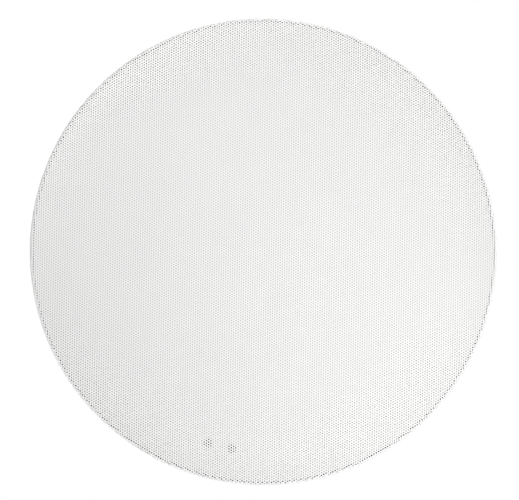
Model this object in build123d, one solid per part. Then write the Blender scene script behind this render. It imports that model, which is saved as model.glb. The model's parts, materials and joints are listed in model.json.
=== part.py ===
from build123d import *
import math
import os

# In-ceiling loudspeaker: a woofer and a tilting tweeter in a round frame, behind a perforated grille.
# Millimetres. +Z points up into the ceiling, so the grille faces down and the magnet is on top.
# The origin is on the speaker's axis, in the plane of the ceiling's visible face.

# Fits and gaps
GLUE_GAP = 0.05
RUNNING_GAP = 0.06
SCREW_HOLE_GAP = 0.25
THREAD_GAP = 0.05
MOULD_GAP = 0.3

# Grille: a pan pressed from perforated sheet, with a crowned rim and a folded skirt
GRILLE_DIAMETER = 233.0
GRILLE_DEPTH = 6.4
GRILLE_SHEET = 0.7
GRILLE_BEND_RADIUS = 1.6
GRILLE_CROWN_RADIUS = 110.0
GRILLE_CROWN_ANGLE = 6.0
GRILLE_CEILING_GAP = 0.4

# Perforation: a staggered lattice of round holes; only one row in so many is cut here
PERFORATION_PITCH = 1.3
PERFORATION_DIAMETER = 0.74
PERFORATION_TURN = 18.37
PERFORATION_SHIFT_X = -0.33
PERFORATION_SHIFT_Y = 0.12
PERFORATION_ROWS_PER_CUT = 17
PERFORATION_MARGIN = 4.0

# Scrim cloth glued behind the grille, with two round windows near the rim
SCRIM_THICKNESS = 0.35
SCRIM_MARGIN = 1.9
WINDOW_DIAMETER = 4.6
WINDOW_CIRCLE_RADIUS = 99.5
WINDOW_SPREAD = 6.89
WINDOW_DIRECTION = -90.0

# Magnets that hold the grille
GRILLE_MAGNET_COUNT = 8
GRILLE_MAGNET_DIAMETER = 8.0
GRILLE_MAGNET_THICKNESS = 2.0
GRILLE_MAGNET_WALL = 1.2
GRILLE_MAGNET_INSET = 3.0
GRILLE_MAGNET_FACE_GAP = 0.25

# Frame moulding: flange, barrel and baffle
FLANGE_THICKNESS = 3.0
FLANGE_OVERHANG = 14.0
FLANGE_EDGE_ROUND = 0.8
CEILING_GASKET_THICKNESS = 1.0
CEILING_GASKET_MARGIN = 1.5
BARREL_LAND = 1.2
BARREL_WALL = 2.6
BARREL_CORNER_ROUND = 2.0
BAFFLE_DEPTH = 12.0
BAFFLE_THICKNESS = 3.0
BAFFLE_OPENING_GAP = 1.7
BAFFLE_EDGE_ROUND = 0.9
BOSS_WALL = 2.0
BOSS_HEIGHT = 3.6
BOSS_FLOOR = 1.2
RIB_HEIGHT = 4.0
RIB_THICKNESS = 1.8
RIB_INSET = 0.8
SIDE_RIB_ANGLES = (-24.0, -16.0, -8.0, 8.0, 16.0)
TRAY_RIB_ANGLES = (-8.0, 0.0, 8.0)
TERMINAL_RIB_ANGLES = (-24.0, -16.0, 16.0)

# Dog-leg clamps
CLAMP_COUNT = 4
CLAMP_FIRST_ANGLE = 45.0
CLAMP_INSET = 9.5
CLAMP_TRAVEL = 28.5
CLAMP_FLOOR_GAP = 1.0
CLAMP_CAP_GAP = 0.8
HUB_RADIUS = 6.0
ARM_LENGTH = 25.0
ARM_WIDTH = 10.0
ARM_HEIGHT = 13.0
ARM_TIP_HEIGHT = 7.0
ARM_HEEL_LENGTH = 9.0
ARM_HEEL_HEIGHT = 2.0
ARM_POCKET_WALL = 1.8
ARM_POCKET_DEPTH = 3.5
HEEL_GROOVE_WIDTH = 1.2
HEEL_GROOVE_DEPTH = 0.7
HEEL_GROOVE_COUNT = 3
NUT_RADIUS = 3.7
NUT_LENGTH = 11.0
NUT_FLANGE_RADIUS = 5.0
NUT_FLANGE_THICKNESS = 1.2
TOWER_WALL = 2.2
TOWER_CAP = 2.5
TOWER_EDGE_GAP = 0.3
ARM_SWING = 90.0
GUSSET_LENGTH = 12.0
GUSSET_HEIGHT = 28.0
GUSSET_THICKNESS = 2.2
CLAMP_SCREW_DIAMETER = 4.0
CLAMP_SCREW_END = 1.5
CLAMP_HEAD_DIAMETER = 8.0
CLAMP_HEAD_HEIGHT = 2.6
CLAMP_HEAD_GAP = 0.1

# Self-tapping screws with pan heads
SCREW_DIAMETER = 3.5
SCREW_HEAD_DIAMETER = 6.6
SCREW_HEAD_HEIGHT = 2.4
SCREW_TIP = 0.8
SCREW_BITE = 5.6
RECESS_LENGTH = 3.6
RECESS_WIDTH = 0.9
RECESS_DEPTH = 1.4

# Woofer basket, pressed from sheet steel, with its front face on the gasket
WOOFER_GASKET_THICKNESS = 1.2
WOOFER_GASKET_INSET = 0.3
WOOFER_RIM_GAP = 1.0
BASKET_SHEET = 1.2
BASKET_BEND_RADIUS = 1.6
BASKET_RIM_WIDTH = 11.7
BASKET_SHOULDER_TAPER = 1.8
BASKET_SHOULDER_HEIGHT = 6.8
BASKET_SHELF_RADIUS = 46.0
BASKET_SHELF_WIDTH = 6.0
BASKET_SHELF_HEIGHT = 28.2
BASKET_CUP_TAPER = 1.4
BASKET_SEAT_HEIGHT = 34.4
BASKET_THROAT_RADIUS = 19.0
BASKET_WINDOW_COUNT = 6
BASKET_WINDOW_ANGLE = 38.0
BASKET_WINDOW_MARGIN = 3.0
BASKET_WINDOW_ROUND_SHARE = 0.235
WOOFER_SCREW_COUNT = 6
WOOFER_SCREW_FIRST_ANGLE = 30.0
WOOFER_SCREW_INSET = 4.2

# Woofer moving parts
SURROUND_THICKNESS = 0.6
SURROUND_ROLL_RADIUS = 3.9
SURROUND_FLANGE_WIDTH = 4.6
SURROUND_LIP_WIDTH = 3.0
CONE_THICKNESS = 0.7
CONE_DEPTH = 22.0
CONE_CURVE = 1.6
CONE_NECK_LENGTH = 2.0
DUST_CAP_RADIUS = 17.5
DUST_CAP_HEIGHT = 6.5
DUST_CAP_THICKNESS = 0.5
COIL_FORMER_RADIUS = 12.75
COIL_FORMER_WALL = 0.25
COIL_THICKNESS = 0.7
COIL_HEIGHT = 8.5
SPIDER_THICKNESS = 0.5
SPIDER_WAVE_COUNT = 4
SPIDER_WAVE_HEIGHT = 1.2
SPIDER_FLAT = 2.5
SPIDER_EDGE_GAP = 0.6

# Woofer motor
COIL_GAP = 0.45
TOP_PLATE_RADIUS = 40.0
TOP_PLATE_THICKNESS = 5.0
FERRITE_RADIUS = 45.0
FERRITE_BORE_RADIUS = 19.0
FERRITE_THICKNESS = 15.0
YOKE_RADIUS = 41.0
YOKE_THICKNESS = 5.5
YOKE_EDGE_CHAMFER = 1.0
POLE_VENT_RADIUS = 3.5
RIVET_COUNT = 6
RIVET_RADIUS = 2.2
RIVET_HEIGHT = 0.8
RIVET_CIRCLE_RADIUS = 32.0

# Solder lugs on the basket
LUG_STRIP_WIDTH = 18.0
LUG_STRIP_HEIGHT = 8.0
LUG_STRIP_THICKNESS = 1.2
LUG_STRIP_PLACE = 0.6
LUG_WIDTH = 3.2
LUG_LENGTH = 9.0
LUG_THICKNESS = 0.6
LUG_SPACING = 10.0

# Tweeter bridge and tilting pod
BRIDGE_WIDTH = 15.0
BRIDGE_THICKNESS = 3.5
BRIDGE_FRONT_Z = -1.5
BRIDGE_RING_WALL = 3.6
BRIDGE_LEG_GAP = 2.5
POD_RADIUS = 19.8
POD_RING_GAP = 1.4
POD_PIVOT_Z = 6.0
POD_FRONT_LENGTH = 5.0
POD_BACK_LENGTH = 9.5
POD_BACK_RADIUS = 15.5
POD_WALL = 1.8
POD_EDGE_ROUND = 1.0
POD_PIN_RADIUS = 1.6
POD_PIN_END_GAP = 0.4
FACEPLATE_THICKNESS = 2.0
FACEPLATE_MOUTH_RADIUS = 14.5
FACEPLATE_THROAT_RADIUS = 11.8
DOME_RADIUS = 10.0
DOME_HEIGHT = 3.0
DIAPHRAGM_THICKNESS = 0.3
DIAPHRAGM_ROLL_RADIUS = 1.3
DIAPHRAGM_FLANGE_WIDTH = 2.4
TWEETER_COIL_WALL = 0.4
TWEETER_COIL_HEIGHT = 2.6
TWEETER_GAP = 0.35
TWEETER_CUP_WALL = 2.4
TWEETER_CUP_FLOOR = 2.0
TWEETER_MAGNET_RADIUS = 8.6
TWEETER_MAGNET_THICKNESS = 2.8
TWEETER_PLATE_THICKNESS = 1.8

# Crossover tray and board
TRAY_WIDTH = 62.0
TRAY_LENGTH = 31.0
TRAY_FLOOR = 2.0
TRAY_STANDOFF = 18.0
TRAY_RIM_HEIGHT = 5.0
TRAY_RIM_WALL = 1.5
TRAY_CORNER_ROUND = 3.0
TRAY_INSET = 2.5
TRAY_LUG_GAP = 2.0
TRAY_LEG_WALL = 2.6
TRAY_LEG_EDGE_X = 8.0
TRAY_LEG_EDGE_Y = 8.0
BOARD_THICKNESS = 1.6
BOARD_STANDOFF = 3.6
BOARD_EDGE_GAP = 0.5
BOARD_PIN_RADIUS = 1.3
BOARD_PIN_INSET = 1.8
BOARD_PIN_HEAD_RADIUS = 1.9
BOARD_PIN_HEAD_HEIGHT = 1.0

# Crossover components: sizes, and places from the board's centre
BOBBIN_FLANGE = 1.0
LOW_PASS_RADIUS = 11.0
LOW_PASS_CORE_RADIUS = 5.0
LOW_PASS_HEIGHT = 12.0
LOW_PASS_X = -17.3
LOW_PASS_Y = 2.8
HIGH_PASS_RADIUS = 7.0
HIGH_PASS_CORE_RADIUS = 3.2
HIGH_PASS_HEIGHT = 9.0
HIGH_PASS_X = 16.5
HIGH_PASS_Y = -6.0
WINDING_INSET = 0.7
FILM_CAPACITOR_LENGTH = 24.0
FILM_CAPACITOR_WIDTH = 9.0
FILM_CAPACITOR_HEIGHT = 14.0
FILM_CAPACITOR_ROUND = 0.8
FILM_CAPACITOR_X = 8.0
FILM_CAPACITOR_Y = 8.2
CAN_RADIUS = 5.0
CAN_HEIGHT = 16.0
CAN_GROOVE_DEPTH = 0.5
CAN_GROOVE_HEIGHT = 2.2
CAN_GROOVE_PLACE = 2.4
CAN_EDGE_ROUND = 0.6
CAN_X = 3.4
CAN_Y = -6.0
RESISTOR_LENGTH = 22.0
RESISTOR_WIDTH = 5.0
RESISTOR_HEIGHT = 6.0
RESISTOR_ROUND = 0.6
RESISTOR_X = -13.8
RESISTOR_Y = -10.9

# Spring terminals
TERMINAL_WIDTH = 30.0
TERMINAL_LENGTH = 13.0
TERMINAL_HEIGHT = 22.0
TERMINAL_INSET = 3.0
TERMINAL_ROUND = 1.2
LEVER_WIDTH = 10.0
LEVER_LENGTH = 6.0
LEVER_HEIGHT = 9.0
LEVER_PROUD = 3.5
LEVER_TRAVEL = 2.5
LEVER_FLOOR_GAP = 0.5
LEVER_SPACING = 15.0
LEVER_EDGE_GAP = 0.8
LEVER_ROUND = 0.8
WIRE_BORE_RADIUS = 1.7
WIRE_BORE_DEPTH = 14.0
WIRE_BORE_WALL = 1.2
CONTACT_WIDTH = 5.0
CONTACT_THICKNESS = 0.8
CONTACT_TAB = 6.0
CONTACT_GAP = 0.1
TERMINAL_SCREW_SPACING = 15.0
TERMINAL_SCREW_PLACE = 8.0

# Radii, from the grille inwards
GRILLE_RADIUS = GRILLE_DIAMETER / 2
FLANGE_RADIUS = GRILLE_RADIUS - GRILLE_SHEET - MOULD_GAP
BARREL_RADIUS = FLANGE_RADIUS - FLANGE_OVERHANG
BARREL_INNER_RADIUS = BARREL_RADIUS - BARREL_WALL
CLAMP_CIRCLE_RADIUS = BARREL_RADIUS - CLAMP_INSET
TOWER_INNER_RADIUS = HUB_RADIUS + MOULD_GAP
TOWER_OUTER_RADIUS = TOWER_INNER_RADIUS + TOWER_WALL
WOOFER_RIM_RADIUS = CLAMP_CIRCLE_RADIUS - TOWER_OUTER_RADIUS - WOOFER_RIM_GAP
WOOFER_SCREW_CIRCLE_RADIUS = WOOFER_RIM_RADIUS - WOOFER_SCREW_INSET
BASKET_MOUTH_RADIUS = WOOFER_RIM_RADIUS - BASKET_RIM_WIDTH
ROLL_OUTER_RADIUS = BASKET_MOUTH_RADIUS - MOULD_GAP
ROLL_CENTRE_RADIUS = ROLL_OUTER_RADIUS - SURROUND_ROLL_RADIUS
CONE_RADIUS = ROLL_OUTER_RADIUS - 2 * SURROUND_ROLL_RADIUS
SURROUND_RADIUS = ROLL_OUTER_RADIUS + SURROUND_FLANGE_WIDTH
BAFFLE_OPENING_RADIUS = ROLL_OUTER_RADIUS + BAFFLE_OPENING_GAP
COIL_FORMER_OUTER_RADIUS = COIL_FORMER_RADIUS + COIL_FORMER_WALL
COIL_OUTER_RADIUS = COIL_FORMER_OUTER_RADIUS + GLUE_GAP + COIL_THICKNESS
TOP_PLATE_BORE_RADIUS = COIL_OUTER_RADIUS + COIL_GAP
POLE_RADIUS = COIL_FORMER_RADIUS - COIL_GAP
BRIDGE_RING_RADIUS = POD_RADIUS + POD_RING_GAP
SCREW_RADIUS = SCREW_DIAMETER / 2
SCREW_BOSS_RADIUS = SCREW_RADIUS + BOSS_WALL
BRIDGE_SCREW_X = WOOFER_RIM_RADIUS + WOOFER_RIM_GAP + SCREW_BOSS_RADIUS
GRILLE_MAGNET_CIRCLE_RADIUS = BARREL_RADIUS + GRILLE_MAGNET_INSET

# Heights, from the grille's face up
GRILLE_FACE_Z = -GRILLE_CEILING_GAP - GRILLE_DEPTH
GRILLE_EDGE_Z = -GRILLE_CEILING_GAP
SCRIM_BACK_Z = GRILLE_FACE_Z + GRILLE_SHEET + GLUE_GAP + SCRIM_THICKNESS
MAGNET_FACE_Z = SCRIM_BACK_Z + GRILLE_MAGNET_FACE_GAP
FLANGE_BACK_Z = -CEILING_GASKET_THICKNESS
FLANGE_FRONT_Z = FLANGE_BACK_Z - FLANGE_THICKNESS
BAFFLE_BACK_Z = BAFFLE_DEPTH
BAFFLE_FRONT_Z = BAFFLE_DEPTH - BAFFLE_THICKNESS
ARM_LOW_Z = BAFFLE_BACK_Z + CLAMP_FLOOR_GAP
ARM_REST_Z = ARM_LOW_Z + CLAMP_TRAVEL
NUT_FLANGE_Z = ARM_REST_Z + ARM_HEIGHT
TOWER_CAP_Z = NUT_FLANGE_Z + NUT_FLANGE_THICKNESS + CLAMP_CAP_GAP
TOWER_TOP_Z = TOWER_CAP_Z + TOWER_CAP
RIM_FRONT_Z = BAFFLE_BACK_Z + WOOFER_GASKET_THICKNESS
RIM_BACK_Z = RIM_FRONT_Z + BASKET_SHEET
SHELF_FRONT_Z = RIM_FRONT_Z + BASKET_SHELF_HEIGHT
SEAT_BACK_Z = RIM_FRONT_Z + BASKET_SEAT_HEIGHT
SURROUND_BACK_Z = RIM_FRONT_Z
CONE_RIM_Z = SURROUND_BACK_Z + GLUE_GAP + CONE_THICKNESS / 2
CONE_NECK_Z = CONE_RIM_Z + CONE_DEPTH
TOP_PLATE_BACK_Z = SEAT_BACK_Z + TOP_PLATE_THICKNESS
FERRITE_BACK_Z = TOP_PLATE_BACK_Z + FERRITE_THICKNESS
YOKE_BACK_Z = FERRITE_BACK_Z + YOKE_THICKNESS
COIL_BOTTOM_Z = SEAT_BACK_Z + TOP_PLATE_THICKNESS / 2 - COIL_HEIGHT / 2
COIL_TOP_Z = COIL_BOTTOM_Z + COIL_HEIGHT
TERMINAL_TOP_Z = BAFFLE_BACK_Z + TERMINAL_HEIGHT
LEVER_Z = TERMINAL_TOP_Z + LEVER_PROUD - LEVER_HEIGHT
LEVER_POCKET_Z = LEVER_Z - LEVER_TRAVEL - LEVER_FLOOR_GAP
WIRE_BORE_Z = TERMINAL_TOP_Z - WIRE_BORE_DEPTH
CONTACT_Z = WIRE_BORE_Z - CONTACT_GAP - CONTACT_THICKNESS

# Ends of the basket's sloping wall at mid sheet, and the solder lugs' reach on it, as radius and height
SHOULDER_AT = (BASKET_MOUTH_RADIUS - BASKET_SHOULDER_TAPER, RIM_FRONT_Z + BASKET_SHOULDER_HEIGHT)
SHELF_AT = (BASKET_SHELF_RADIUS, SHELF_FRONT_Z + BASKET_SHEET / 2)
SLOPE_RUN = (SHELF_AT[0] - SHOULDER_AT[0], SHELF_AT[1] - SHOULDER_AT[1])
SLOPE_LENGTH = math.hypot(*SLOPE_RUN)
SLOPE_NORMAL = (SLOPE_RUN[1] / SLOPE_LENGTH, -SLOPE_RUN[0] / SLOPE_LENGTH)
LUG_STRIP_LIFT = BASKET_SHEET / 2 + GLUE_GAP
LUG_LIFT = LUG_STRIP_LIFT + GLUE_GAP + LUG_STRIP_THICKNESS
LUG_AT = (SHOULDER_AT[0] + LUG_STRIP_PLACE * SLOPE_RUN[0], SHOULDER_AT[1] + LUG_STRIP_PLACE * SLOPE_RUN[1])
LUG_OUTER_Y = LUG_AT[0] + (LUG_LIFT + LUG_THICKNESS) * SLOPE_NORMAL[0] + LUG_LENGTH / 2 * SLOPE_NORMAL[1]
LUG_TOP_Z = LUG_AT[1] + (LUG_LIFT + LUG_THICKNESS) * SLOPE_NORMAL[1] + LUG_LENGTH / 2 * SLOPE_NORMAL[0]

# Places of the crossover tray and the terminals, inside the barrel's radius; the tray stands beside the
# solder lugs, or over them where a small barrel leaves it no room there
TRAY_OUTER_Y = math.sqrt((BARREL_RADIUS - TRAY_INSET) ** 2 - (TRAY_WIDTH / 2) ** 2)
TRAY_INNER_Y = TRAY_OUTER_Y - TRAY_LENGTH
TRAY_Y = TRAY_OUTER_Y - TRAY_LENGTH / 2
TRAY_IS_BESIDE_LUGS = TRAY_INNER_Y >= LUG_OUTER_Y + TRAY_LUG_GAP
TRAY_FLOOR_Z = BAFFLE_BACK_Z + TRAY_STANDOFF if TRAY_IS_BESIDE_LUGS else LUG_TOP_Z + TRAY_LUG_GAP
TRAY_TOP_Z = TRAY_FLOOR_Z + TRAY_FLOOR
BOARD_Z = TRAY_TOP_Z + BOARD_STANDOFF
BOARD_TOP_Z = BOARD_Z + BOARD_THICKNESS
TRAY_LEG_X = TRAY_WIDTH / 2 - TRAY_LEG_EDGE_X
TRAY_LEG_Y = TRAY_OUTER_Y - TRAY_LEG_EDGE_Y
TRAY_LEG_RADIUS = SCREW_RADIUS + SCREW_HOLE_GAP + TRAY_LEG_WALL
TERMINAL_OUTER_Y = -math.sqrt((BARREL_RADIUS - TERMINAL_INSET) ** 2 - (TERMINAL_WIDTH / 2) ** 2)
TERMINAL_INNER_Y = TERMINAL_OUTER_Y + TERMINAL_LENGTH
LEVER_Y = TERMINAL_OUTER_Y + LEVER_EDGE_GAP + LEVER_LENGTH / 2
WIRE_BORE_Y = LEVER_Y + LEVER_LENGTH / 2 + MOULD_GAP + WIRE_BORE_WALL + WIRE_BORE_RADIUS

CLAMP_ANGLES = [CLAMP_FIRST_ANGLE + k * 360 / CLAMP_COUNT for k in range(CLAMP_COUNT)]
WOOFER_SCREW_ANGLES = [
    WOOFER_SCREW_FIRST_ANGLE + k * 360 / WOOFER_SCREW_COUNT for k in range(WOOFER_SCREW_COUNT)
]
TRAY_SCREW_PLACES = [(-TRAY_LEG_X, TRAY_LEG_Y), (TRAY_LEG_X, TRAY_LEG_Y)]
BRIDGE_SCREW_PLACES = [(-BRIDGE_SCREW_X, 0), (BRIDGE_SCREW_X, 0)]
TERMINAL_SCREW_PLACES = [
    (side * TERMINAL_SCREW_SPACING / 2, TERMINAL_OUTER_Y + TERMINAL_SCREW_PLACE) for side in (-1, 1)
]
LEVER_PLACES = [(-LEVER_SPACING / 2, LEVER_Y), (LEVER_SPACING / 2, LEVER_Y)]
WIRE_BORE_PLACES = [(-LEVER_SPACING / 2, WIRE_BORE_Y), (LEVER_SPACING / 2, WIRE_BORE_Y)]


def polar(radius, angle):
    """The plan point at a radius and an angle in degrees."""
    return radius * math.cos(math.radians(angle)), radius * math.sin(math.radians(angle))


def disc(radius, bottom, top, at=(0, 0)):
    """An upright cylinder between two heights."""
    return Pos(at[0], at[1], bottom) * extrude(Circle(radius), top - bottom)


def ring(outer, inner, bottom, top, at=(0, 0)):
    """An upright tube between two heights."""
    return Pos(at[0], at[1], bottom) * extrude(Circle(outer) - Circle(inner), top - bottom)


def block(width, length, bottom, top, at=(0, 0), rounding=0.0):
    """An upright block between two heights, with its upright edges rounded."""
    outline = RectangleRounded(width, length, rounding) if rounding else Rectangle(width, length)
    return Pos(at[0], at[1], bottom) * extrude(outline, top - bottom)


def turned(section):
    """A section drawn as (radius, height), turned about the speaker's axis."""
    return revolve(Plane.XZ * section, Axis.Z)


def pressed_sheet(points, bend_radius, thickness):
    """The section of a sheet of even thickness, bent along the points."""
    return trace(FilletPolyline(*points, radius=bend_radius), line_width=thickness)


def solids_of(*shapes):
    """Separate solids that share one node."""
    return Compound(children=[solid for shape in shapes for solid in shape.solids()])


def pan_region(inset, open_edge):
    """Half of the grille's section, from the axis to its skin at an inset from the outside.

    The flat face runs into the crown's arc, the fold's arc and the skirt, each tangent to the next.
    """
    slope = math.radians(GRILLE_CROWN_ANGLE)
    crown = GRILLE_CROWN_RADIUS - inset
    bend = GRILLE_BEND_RADIUS - inset
    flat_radius = (
        GRILLE_RADIUS - GRILLE_BEND_RADIUS * (1 - math.sin(slope)) - GRILLE_CROWN_RADIUS * math.sin(slope)
    )
    bend_x = GRILLE_RADIUS - GRILLE_BEND_RADIUS
    bend_z = (
        GRILLE_FACE_Z
        + GRILLE_CROWN_RADIUS * (1 - math.cos(slope))
        + GRILLE_BEND_RADIUS * math.cos(slope)
    )
    crown_z = GRILLE_FACE_Z + GRILLE_CROWN_RADIUS

    def on_crown(angle):
        return flat_radius + crown * math.sin(angle), crown_z - crown * math.cos(angle)

    def on_bend(angle):
        return bend_x + bend * math.sin(angle), bend_z - bend * math.cos(angle)

    face_z = GRILLE_FACE_Z + inset
    middle = (slope + math.pi / 2) / 2
    outline = [
        Line((0, face_z), (flat_radius, face_z)),
        ThreePointArc((flat_radius, face_z), on_crown(slope / 2), on_crown(slope)),
        ThreePointArc(on_crown(slope), on_bend(middle), on_bend(math.pi / 2)),
        Line(on_bend(math.pi / 2), (GRILLE_RADIUS - inset, open_edge)),
        Line((GRILLE_RADIUS - inset, open_edge), (0, open_edge)),
        Line((0, open_edge), (0, face_z)),
    ]
    return make_face(outline)


def lattice_points(stride, inside):
    """Points of the perforation's lattice, one row in each stride, that an area holds."""
    pitch = PERFORATION_PITCH
    reach = int(GRILLE_RADIUS / (pitch * stride * math.cos(math.radians(30)))) + 1
    points = []
    for i in range(-reach, reach + 1):
        for j in range(-reach, reach + 1):
            along, across = polar(i * stride * pitch, PERFORATION_TURN)
            up_x, up_y = polar(j * stride * pitch, PERFORATION_TURN + 60)
            point = (PERFORATION_SHIFT_X + along + up_x, PERFORATION_SHIFT_Y + across + up_y)
            if inside(point):
                points.append(point)
    return points


WINDOW_CENTRES = [
    polar(WINDOW_CIRCLE_RADIUS, WINDOW_DIRECTION + side * WINDOW_SPREAD / 2) for side in (-1, 1)
]


def in_window(point):
    """Whether a lattice point lies wholly in one of the scrim's windows."""
    reach = (WINDOW_DIAMETER - PERFORATION_DIAMETER) / 2
    return any(math.dist(point, centre) < reach for centre in WINDOW_CENTRES)


def on_open_sheet(point):
    """Whether a lattice point lies on the grille's face, clear of the rim and of the windows."""
    clear = all(math.dist(point, centre) > WINDOW_DIAMETER for centre in WINDOW_CENTRES)
    return clear and math.hypot(*point) < GRILLE_RADIUS - PERFORATION_MARGIN


def make_grille():
    """The pressed pan, with the windows' holes and the thinned lattice cut through it."""
    pan = turned(pan_region(0, GRILLE_EDGE_Z)) - turned(pan_region(GRILLE_SHEET, 0))
    places = lattice_points(1, in_window) + lattice_points(PERFORATION_ROWS_PER_CUT, on_open_sheet)
    top = GRILLE_FACE_Z + GRILLE_DEPTH / 2
    drills = [disc(PERFORATION_DIAMETER / 2, GRILLE_FACE_Z - GRILLE_SHEET, top, at) for at in places]
    return pan - drills


def make_scrim():
    """The cloth, which lies against the sheet as far as the start of the fold."""
    front = GRILLE_SHEET + GLUE_GAP
    cloth = turned(pan_region(front, 0)) - turned(pan_region(front + SCRIM_THICKNESS, GRILLE_SHEET))
    cloth &= disc(GRILLE_RADIUS - SCRIM_MARGIN, GRILLE_FACE_Z, 0)
    windows = [disc(WINDOW_DIAMETER / 2, GRILLE_FACE_Z, 0, at) for at in WINDOW_CENTRES]
    return cloth - windows


def magnet_places():
    """Places of the grille's magnets round the flange."""
    step = 360 / GRILLE_MAGNET_COUNT
    return [polar(GRILLE_MAGNET_CIRCLE_RADIUS, (k + 0.5) * step) for k in range(GRILLE_MAGNET_COUNT)]


def make_grille_magnets():
    """Disc magnets, flush with the bosses that hold them."""
    top = MAGNET_FACE_Z + GRILLE_MAGNET_THICKNESS
    return solids_of(*[disc(GRILLE_MAGNET_DIAMETER / 2, MAGNET_FACE_Z, top, at) for at in magnet_places()])


def frame_dish():
    """The turned body of the frame: flange, seating land, barrel and baffle."""
    land_radius = BARREL_RADIUS + BARREL_LAND
    corners = [
        ((FLANGE_RADIUS, FLANGE_BACK_Z), 0),
        ((land_radius, FLANGE_BACK_Z), 0),
        ((land_radius, 0), 0),
        ((BARREL_RADIUS, 0), 0),
        ((BARREL_RADIUS, BAFFLE_BACK_Z), 0),
        ((BAFFLE_OPENING_RADIUS, BAFFLE_BACK_Z), 0),
        ((BAFFLE_OPENING_RADIUS, BAFFLE_FRONT_Z), BAFFLE_EDGE_ROUND),
        ((BARREL_INNER_RADIUS, BAFFLE_FRONT_Z), BARREL_CORNER_ROUND),
        ((BARREL_INNER_RADIUS, FLANGE_FRONT_Z), BARREL_CORNER_ROUND),
        ((FLANGE_RADIUS, FLANGE_FRONT_Z), FLANGE_EDGE_ROUND),
    ]
    points = [point for point, _ in corners]
    rounds = [rounding for _, rounding in corners]
    return turned(make_face(FilletPolyline(*points, radius=rounds, close=True)))


def clamp_tower():
    """One clamp's tower at the origin of its screw, open on the side where the arm swings.

    Its wall is the part of a tube outside the arm's sweep, which runs from folded, at -90 degrees, to 0, out.
    """
    edge = math.degrees(math.asin((ARM_WIDTH / 2 + TOWER_EDGE_GAP) / TOWER_INNER_RADIUS))
    reach = 3 * TOWER_OUTER_RADIUS
    sweep = [-ARM_SWING - edge, -ARM_SWING, -ARM_SWING / 2, 0, edge]
    opening = make_face(Polyline((0, 0), *[polar(reach, angle) for angle in sweep], close=True))
    wall = Circle(TOWER_OUTER_RADIUS) - Circle(TOWER_INNER_RADIUS) - opening
    tower = Pos(0, 0, BAFFLE_BACK_Z) * extrude(wall, TOWER_TOP_Z - BAFFLE_BACK_Z)
    tower += disc(TOWER_OUTER_RADIUS, TOWER_CAP_Z, TOWER_TOP_Z)
    root = (TOWER_INNER_RADIUS + TOWER_OUTER_RADIUS) / 2
    foot = TOWER_OUTER_RADIUS + GUSSET_LENGTH
    web = [(root, BAFFLE_BACK_Z), (foot, BAFFLE_BACK_Z), (root, BAFFLE_BACK_Z + GUSSET_HEIGHT)]
    gusset = Plane.YZ * make_face(Polyline(*web, close=True))
    return tower + extrude(gusset, GUSSET_THICKNESS / 2, both=True)


def frame_ribs():
    """Radial ribs on the baffle's back, in the sectors that no clamp arm sweeps."""
    inner = WOOFER_RIM_RADIUS + WOOFER_RIM_GAP
    outer = BARREL_RADIUS - RIB_INSET
    middle = (inner + outer) / 2
    rib = block(outer - inner, RIB_THICKNESS, BAFFLE_BACK_Z, BAFFLE_BACK_Z + RIB_HEIGHT, (middle, 0))
    sectors = {0: SIDE_RIB_ANGLES, 90: TRAY_RIB_ANGLES, 180: SIDE_RIB_ANGLES, 270: TERMINAL_RIB_ANGLES}
    return [Rot(0, 0, sector + angle) * rib for sector, angles in sectors.items() for angle in angles]


def make_frame():
    """The frame moulding with its towers, ribs, bosses and holes."""
    frame = frame_dish()
    frame += [Rot(0, 0, angle) * Pos(CLAMP_CIRCLE_RADIUS, 0, 0) * clamp_tower() for angle in CLAMP_ANGLES]
    frame += frame_ribs()

    pocket_wall = GRILLE_MAGNET_DIAMETER / 2 + GRILLE_MAGNET_WALL
    frame += [disc(pocket_wall, MAGNET_FACE_Z, FLANGE_BACK_Z, at) for at in magnet_places()]
    pocket = GRILLE_MAGNET_DIAMETER / 2 + GLUE_GAP
    pocket_top = MAGNET_FACE_Z + GRILLE_MAGNET_THICKNESS + GLUE_GAP
    cuts = [disc(pocket, SCRIM_BACK_Z, pocket_top, at) for at in magnet_places()]

    front_bosses = [polar(WOOFER_SCREW_CIRCLE_RADIUS, angle) for angle in WOOFER_SCREW_ANGLES]
    front_bosses += TRAY_SCREW_PLACES
    boss_z = BAFFLE_FRONT_Z - BOSS_HEIGHT
    bite = SCREW_RADIUS + THREAD_GAP
    frame += [disc(SCREW_BOSS_RADIUS, boss_z, BAFFLE_BACK_Z, at) for at in front_bosses]
    cuts += [disc(bite, boss_z + BOSS_FLOOR, BAFFLE_BACK_Z, at) for at in front_bosses]

    boss_top = BAFFLE_BACK_Z + BOSS_HEIGHT
    frame += [disc(SCREW_BOSS_RADIUS, BAFFLE_FRONT_Z, boss_top, at) for at in BRIDGE_SCREW_PLACES]
    cuts += [disc(bite, BAFFLE_FRONT_Z, boss_top - BOSS_FLOOR, at) for at in BRIDGE_SCREW_PLACES]

    passing = SCREW_RADIUS + SCREW_HOLE_GAP
    cuts += [disc(passing, BAFFLE_FRONT_Z, BAFFLE_BACK_Z, at) for at in TERMINAL_SCREW_PLACES]

    clamp_hole = CLAMP_SCREW_DIAMETER / 2 + RUNNING_GAP
    clamps = [polar(CLAMP_CIRCLE_RADIUS, angle) for angle in CLAMP_ANGLES]
    cuts += [disc(clamp_hole, BAFFLE_FRONT_Z, TOWER_TOP_Z, at) for at in clamps]
    return frame - cuts


def make_ceiling_gasket():
    """The foam ring on the flange's back, flush with the seating land."""
    inner = BARREL_RADIUS + BARREL_LAND + MOULD_GAP
    return ring(FLANGE_RADIUS - CEILING_GASKET_MARGIN, inner, FLANGE_BACK_Z, 0)


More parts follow.
